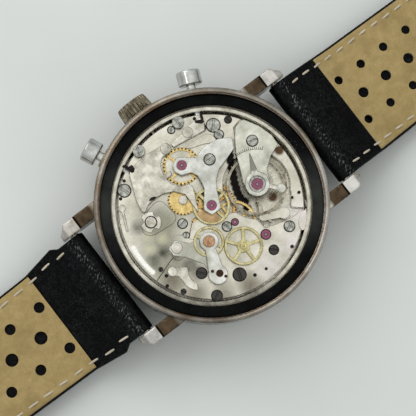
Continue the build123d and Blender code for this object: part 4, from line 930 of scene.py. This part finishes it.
# %% Leather, suede and thread
def make_black_leather():
    gloss = {"Coat_Weight": 0.12, "Coat_Roughness": 0.2, "Specular_IOR_Level": 0.06}
    material, shader, place = start_material("leather_black", **gloss)
    skin = use(leather_creases, place, Cell=0.75, Crease=3.0, Strength=0.7)
    mask = patches(place, 2.2, 0.8)
    colour = blend(mask, (0.0012, 0.0013, 0.0016), (0.004, 0.004, 0.005))
    colour = blend(times(dots(place, 0.35, 0.9), 0.4), colour, (0.1, 0.1, 0.1))
    # Painted highlight: slanted pale strokes in a narrow band just outside the spring bar.
    along = maths("ABSOLUTE", put("SeparateXYZ", {0: place}).outputs["X"])
    highlight_band = times(remap(along, 20.9, 21.4), remap(along, 22.9, 22.0))
    slanted = put("VectorRotate", {"Vector": place, "Angle": 0.7}, rotation_type="Z_AXIS").outputs[0]
    strokes = use(fine_grain, slanted, Stretch=(2.2, 0.8, 1.0), Size=0.5)["Height"]
    painted_highlight_strokes = times(remap(strokes, 0.54, 0.68), highlight_band)
    colour = blend(painted_highlight_strokes, colour, (0.15, 0.155, 0.155))
    # Painted highlight: fine pale lines that wander over the face, for light caught on its creases.
    wander = noise(slanted, 0.75, Detail=5.0, Roughness=0.7, Distortion=1.2)
    line = remap(maths("ABSOLUTE", maths("SUBTRACT", wander, 0.5)), 0.022, 0.0)
    line = times(line, patches(place, 5.0, 0.9), 0.8)
    colour = blend(line, colour, (0.055, 0.062, 0.062))
    rough = remap(maths("ADD", skin["Valleys"], mask), 0.0, 1.6, 0.26, 0.55)
    wire(shader, colour, rough, relief(skin["Height"], 0.55, 0.06))
    return material


def make_suede():
    fuzz = {"Specular_IOR_Level": 0.2, "Roughness": 0.9, "Sheen_Weight": 0.25, "Sheen_Roughness": 0.5}
    material, shader, place = start_material("lining_suede", **fuzz)
    nap = use(suede_nap, place, Fibre=0.14, Brush=1.5)
    colour = blend(nap["Lay"], (0.355, 0.27, 0.122), (0.46, 0.355, 0.175))
    colour = blend(times(nap["Stain"], 0.35), colour, (0.23, 0.165, 0.07))
    pits = times(remap(nap["Height"], 0.62, 0.42), 0.4)
    colour = blend(pits, colour, (0.24, 0.175, 0.075))
    wire(shader, colour, None, relief(nap["Height"], 0.6, 0.06))
    return material


def make_thread():
    material, shader, place = start_material("linen_thread", Roughness=0.7)
    twist = vector_maths("MULTIPLY", place, (3.4, 9.0, 3.4))
    wave = {"Vector": twist, "Scale": 1.0, "Distortion": 0.6}
    plies = put("TexWave", wave, bands_direction="DIAGONAL").outputs["Fac"]
    colour = blend(patches(place, 2.0, 0.7), (0.46, 0.4, 0.31), (0.64, 0.58, 0.48))
    wire(shader, colour, None, relief(plies, 0.5, 0.05))
    return material


leather_black, lining_suede, linen_thread = make_black_leather(), make_suede(), make_thread()


# %% [markdown]
# The strap is two halves. Each half is black leather, folded round the spring bar and turned back
# over itself as far as the fold line, with a suede lining glued inside the leather's turned edge.
# It leaves the bar, comes down in a soft curve and then lies on the table. So every piece of it is
# a loft: one cross-section, repeated at stations along the strap, each at its own height and width.

# %% The strap's curve and its cross-sections
strap_thick = 2.5
loop_radius = 1.3
shell_angle = 38
long_tip = 9.0
straight_from = 33.0
lining_floor = 1.7
root_half, tip_half = 9.75, 9.0
taper_from, taper_length = 30.0, 36.0
flare, flare_from, flare_to, flare_fade = 0.8, 24.3, 31.0, 5.6


def strap_level(x):
    """Height of the strap's lower face at a distance from the watch's centre."""
    share = clamp((x - bar_x - 0.5) / (straight_from - bar_x - 0.5))
    ease = share * share * (3 - 2 * share)
    return (bar_z - loop_radius) * (1 - ease) + strap_floor * ease


def half_width(x, end, tail):
    """Half of the strap's width: parallel, then a taper, then a rounded tip if it has one."""
    share = clamp((x - taper_from) / taper_length)
    width = root_half + (tip_half - root_half) * share
    if tail:
        width += flare * max(min(x - flare_from, (flare_to - x) / flare_fade, 1.0), 0.0)
    if tail and x > end - tail:
        width *= max(1 - ((x - end + tail) / tail) ** 2.2, 0.0) ** 0.6
    return max(width, 0.6)


def leather_section(width, low, high, floor, pad):
    """Closed outline of the leather: padded face below, turned edges and a recess above."""
    lower = [(-1.0, 0.55), (-0.965, 0.2), (-0.9, 0.06), (-0.6, 0.0), (-0.25, 0.0)]
    points = [(y * width, low + drop * pad) for y, drop in lower]
    points += [(-y, z) for y, z in reversed(points)]
    inner = width - 0.3
    points += [(width, high - 0.45), (width - 0.08, high - 0.13), (width - 0.22, high), (inner, floor)]
    points += [(inner * 0.55, floor), (-inner * 0.55, floor), (-inner, floor)]
    return points + [(-width + 0.22, high), (-width + 0.08, high - 0.13), (-width, high - 0.45)]


def lining_section(width, low, high):
    """Closed outline of the lining: flat below, slightly domed above."""
    edge = width - 0.33
    upper = [(1.0, -0.3), (0.985, -0.12), (0.95, -0.03), (0.5, 0.0)]
    upper += [(-y, drop) for y, drop in reversed(upper)]
    return [(-edge, low), (edge, low)] + [(y * edge, high + drop) for y, drop in upper]


def loft(name, rings):
    """A closed skin through equal rings of points, in millimetres."""
    work = bmesh.new()
    skin_rows(work, [[work.verts.new(Vector(point) * MM) for point in ring] for ring in rings])
    return bmesh_piece(name, work, shell_angle)


def stations(start, end, fold):
    """Distances along the strap: close together where it bends, folds or ends."""
    fine, coarse, flat_from = 0.6, 2.0, straight_from + 1
    places = [start + fine * i for i in range(int((flat_from - start) / fine) + 1)]
    places += [flat_from + coarse * i for i in range(1, int((end - flat_from) / coarse))]
    places += [end - drop for drop in (6.0, 4.5, 3.2, 2.2, 1.4, 0.8, 0.4, 0.15, 0.0)]
    places += [fold - 0.7, fold - 0.1, fold + 0.05, fold + 0.3]
    return sorted({round(x, 3) for x in places if start <= x <= end})


print("strap level at the bar, at 27 mm and on the table:", [round(strap_level(x), 2) for x in (21, 27, 60)])


# %% [markdown]
# Leather over a spring bar is never flat: it puckers between the stitches and gathers near the
# bend. Two crossed sine waves of less than a tenth of a millimetre give the turned-back part that
# life before any shader bump is added.

# %% Make the leather and lining of both halves
def pucker(x, y, fold):
    """Small waves in the turned-back leather, strongest beside the bar."""
    near = clamp((fold - x) / 5.0)
    return near * (0.05 * math.sin(2.3 * x + 0.5 * y) + 0.035 * math.sin(1.1 * y - 1.7 * x + 1.0))


def make_leather(name, side, end, fold, tail):
    rings = []
    for step in range(9):
        angle = math.radians(84 - 10.5 * step)
        half = loop_radius * math.cos(angle)
        low = bar_z - half
        x = bar_x - loop_radius * math.sin(angle)
        width = half_width(x, end, tail) - 0.25 * (1 - math.cos(angle))
        points = leather_section(width, low, low + 2 * half, low + 2 * half, min(half, 0.4))
        rings.append([(side * x, y, z) for y, z in points])
    for x in stations(bar_x + 0.5, end, fold):
        low = strap_level(x)
        high = low + strap_thick
        floor = high if x < fold else low + lining_floor
        top = high if x < fold else high - 0.16
        points = leather_section(half_width(x, end, tail), low, top, floor, 0.9)
        upper = low + 0.6 * strap_thick
        rings.append([(side * x, y, z + (pucker(x, y, fold) if z > upper else 0.0)) for y, z in points])
    return loft(name, rings)


def make_lining(name, side, end, fold, tail):
    rings = []
    for x in stations(fold + 0.08, end - 0.6, fold):
        low = strap_level(x)
        points = lining_section(half_width(x + 0.6, end, tail), low + lining_floor - 0.1, low + strap_thick)
        rings.append([(side * x, y, z) for y, z in points])
    return loft(name, rings)


def perforations(side, first, pitch, row_y, middle, last, sizes):
    """Rows of holes along the strap: place and radius of each."""
    holes = []
    count = int((last - first) / pitch) + 1
    for i in range(count):
        holes += [(side * (first + i * pitch), y, sizes[0]) for y in (-row_y, row_y)]
        holes.append((side * (middle + i * pitch), 0.0, sizes[1]))
    return holes


def subtract(piece, cutter):
    """Cut one closed mesh out of another."""
    cut = piece.modifiers.new("holes", "BOOLEAN")
    cut.operation, cut.solver, cut.object = "DIFFERENCE", "EXACT", cutter
    made = evaluated_mesh(piece)
    piece.modifiers.clear()
    piece.data = made
    bpy.data.objects.remove(cutter)
    soften(piece, shell_angle)


def punch(piece, holes, low, high):
    """Cut round holes out of a piece between two offsets above the strap's lower face."""
    work = bmesh.new()
    for x, y, radius in holes:
        level = strap_level(abs(x))
        middle = Vector((x, y, level + (low + high) / 2)) * MM
        bmesh.ops.create_cone(
            work, cap_ends=True, segments=24, radius1=radius * MM, radius2=radius * MM,
            depth=(high - low) * MM, matrix=Matrix.Translation(middle),
        )
    subtract(piece, bmesh_piece("cutter", work))


def cut_slot(piece, start, end, half):
    """Cut a slot right through a piece, for the buckle's tongue."""
    work = bmesh.new()
    bmesh.ops.create_cube(work, size=1.0)
    bmesh.ops.scale(work, vec=Vector((end - start, 2 * half, 12.0)) * MM, verts=work.verts)
    bmesh.ops.translate(work, vec=Vector(((start + end) / 2, 0.0, 3.0)) * MM, verts=work.verts)
    subtract(piece, bmesh_piece("cutter", work))


short_holes = perforations(1, 30.3, 4.8, 4.1, 32.5, 76.0, (0.75, 0.9))
long_holes = perforations(-1, 32.5, 6.0, 4.2, 35.3, 92.0, (0.92, 1.1))
size_holes = [(-(104.0 + 5.5 * i), 0.0, 1.0) for i in range(6)]

for node, lining_node, side, end, fold, tail, holes, through in (
    ("strap_short", "strap_short_lining", 1, short_end, short_fold, 0.0, short_holes, []),
    ("strap_long", "strap_long_lining", -1, long_end, long_fold, long_tip, long_holes, size_holes),
):
    leather = make_leather(node + "_leather", side, end, fold, tail)
    lining = make_lining(node + "_suede", side, end, fold, tail)
    # The perforations stop inside the leather, so each hole in the lining has a dark floor.
    punch(leather, holes, -1.0, 0.9)
    punch(lining, holes, 1.0, 4.0)
    for layer in (leather, lining):
        if through:
            punch(layer, through, -1.0, 4.0)
        else:
            cut_slot(layer, tongue_x - 4.0, tongue_x + 2.5, 1.1)
    settle(leather, node, "leather_black", leather_black, node)
    settle(lining, node, "leather_tan", lining_suede, lining_node)
    print(node, "faces", len(leather.data.polygons), "holes", len(holes) + len(through))


# %% [markdown]
# Saddle stitches run along both edges, a millimetre and a half in. A stitch is a short, fat piece
# of thread that dips into a hole at each end, so each is a small bowed capsule, a little longer or
# turned than its neighbour as in hand work. Both faces of the strap show the same row.

# %% Sew the edges
thread_radius = 0.19
stitch_dip = 0.3
stitch_inset = 1.45


def add_stitch(work, x, y, z, length, turn, side):
    """One bowed capsule of thread, lying along the strap."""
    rows = []
    for step in range(7):
        share = step / 6
        along = (share - 0.5) * length
        thick = thread_radius * math.sin(math.pi * (0.12 + 0.76 * share)) ** 0.5
        drop = stitch_dip * (2 * share - 1) ** 2
        slope = strap_level(abs(x + along)) - strap_level(abs(x))
        row = []
        for i in range(8):
            angle = i * math.pi / 4
            across = thick * math.cos(angle) + along * turn
            up = 0.75 * thick * math.sin(angle) + side * (0.12 - drop) + slope
            row.append(work.verts.new(Vector((x + along, y + across, z + up)) * MM))
        rows.append(row)
    skin_rows(work, rows)


def sew(name, side, end, tail, start, pitch, length, last):
    """Rows of stitches on both faces of one half."""
    chance = random.Random(7 + side)
    work = bmesh.new()
    for i in range(int((last - start) / pitch) + 1):
        x = start + i * pitch
        level = strap_level(x)
        for edge in (1, -1):
            y = edge * (half_width(x, end, tail) - stitch_inset + chance.uniform(-0.06, 0.06))
            turn = chance.uniform(-0.05, 0.05) + 0.05 * edge
            size = length * chance.uniform(0.92, 1.08)
            add_stitch(work, side * x, y, level + strap_thick, size, turn, 1)
            add_stitch(work, side * x, y, level + 0.02, size, turn, -1)
    return bmesh_piece(name, work, 60)


short_thread = sew("strap_short_stitches", 1, short_end, 0.0, 23.9, 2.45, 1.75, 88.0)
long_thread = sew("strap_long_stitches", -1, long_end, long_tip, 24.6, 3.05, 2.1, 127.0)
settle(short_thread, "strap_short", "leather_tan", linen_thread)
settle(long_thread, "strap_long", "leather_tan", linen_thread)
print("thread faces:", len(short_thread.data.polygons) + len(long_thread.data.polygons))


# %% [markdown]
# A keeper is a narrow strip of the same leather, bent into a loop with soft corners. The fixed one
# is sewn to the strap behind the buckle, and the other slides.

# %% Make the keepers
def make_keeper(node):
    low, high = box_mm(node)
    wall, corner = 0.9, 1.6
    middle = (low + high) / 2
    half_y, half_z = (high.y - low.y) / 2, (high.z - low.z) / 2
    section = [(-1.0, 0.12), (-0.9, 0.0), (0.9, 0.0), (1.0, 0.12)]
    section += [(1.0, wall - 0.12), (0.94, wall), (-0.94, wall), (-1.0, wall - 0.12)]
    rows = []
    work = bmesh.new()
    for quarter in range(4):
        for step in range(6):
            angle = math.radians(quarter * 90 + step * 18)
            way = Vector((0, math.cos(angle), math.sin(angle)))
            y_sign = 1 if quarter in (0, 3) else -1
            z_sign = 1 if quarter in (0, 1) else -1
            foot = Vector((0, y_sign * (half_y - corner), z_sign * (half_z - corner)))
            row = []
            for share, depth in section:
                spot = middle + foot + way * (corner - depth) + Vector((share * (high.x - low.x) / 2, 0, 0))
                row.append(work.verts.new(spot * MM))
            rows.append(row)
    skin_rows(work, rows, closed=True)
    return bmesh_piece(node + "_loop", work)


settle(make_keeper("fixed_keeper"), "strap_short", "leather_black", leather_black, "fixed_keeper")
settle(make_keeper("sliding_keeper"), "sliding_keeper", "leather_black", leather_black, "sliding_keeper")

# %% [markdown]
# A pale table, a large soft light and a bright, even room make the scene. The camera looks almost
# straight down, five degrees off, with the strap running from lower left to upper right.

# %% Table, light and camera
table_half = 900
turn = math.radians(-37.5)
right_way = Vector((math.cos(turn), math.sin(turn), 0))
up_way = Vector((-math.sin(turn), math.cos(turn), 0))
straight_up = Vector((0, 0, 1))
tilt = math.radians(5.4)
lean = -(up_way * 0.926 + right_way * 0.377)
look_at = Vector((-0.65, 0.09, 9.5)) * MM
distance = 0.34
view_width = 68.2 * MM
sensor_width = 36


def make_table():
    material, shader, place = start_material("table_white", Roughness=0.6)
    mask = patches(place, 60.0, 0.3)
    wire(shader, blend(mask, (0.62, 0.64, 0.625), (0.65, 0.67, 0.655)))
    corners = ((-1, -1), (1, -1), (1, 1), (-1, 1))
    mesh = bpy.data.meshes.new("table")
    mesh.from_pydata([Vector((x, y, 0)) * table_half * MM for x, y in corners], [], [(0, 1, 2, 3)])
    mesh.materials.append(material)
    add_object("table", mesh)


def make_world():
    world = bpy.data.worlds.new("room")
    world.use_nodes = True
    tree = world.node_tree
    sky = tree.nodes.new("ShaderNodeTexCoord").outputs["Generated"]
    share = remap(put("SeparateXYZ", {0: sky}).outputs["Z"], 0.25, 0.97)
    colour = blend(share, (0.46, 0.47, 0.47), (0.8, 0.81, 0.8))
    tree.links.new(colour, tree.nodes["Background"].inputs["Color"])
    bpy.context.scene.world = world


def add_softbox(name, place, size, power):
    """A square light that faces the watch."""
    light = bpy.data.lights.new(name, "AREA")
    light.shape, light.size, light.energy = "SQUARE", size, power
    lamp = add_object(name, light)
    lamp.location = place
    lamp.rotation_euler = (-place).to_track_quat("-Z", "Y").to_euler()


def make_camera():
    back = (lean * math.sin(tilt) + straight_up * math.cos(tilt)).normalized()
    up = (up_way - back * up_way.dot(back)).normalized()
    camera = bpy.data.cameras.new("camera")
    camera.sensor_width = sensor_width
    camera.lens = sensor_width * distance / view_width
    seen = add_object("camera", camera)
    turned = Matrix((up.cross(back), up, back)).transposed().to_4x4()
    seen.matrix_world = Matrix.Translation(look_at + back * distance) @ turned
    bpy.context.scene.camera = seen


make_table()
make_world()
add_softbox("window", right_way * -0.34 + up_way * 0.36 + straight_up * 0.5, 0.6, 1.9)
make_camera()
bpy.context.scene.view_settings.view_transform = "Standard"
bpy.context.scene.view_settings.look = "Medium High Contrast"
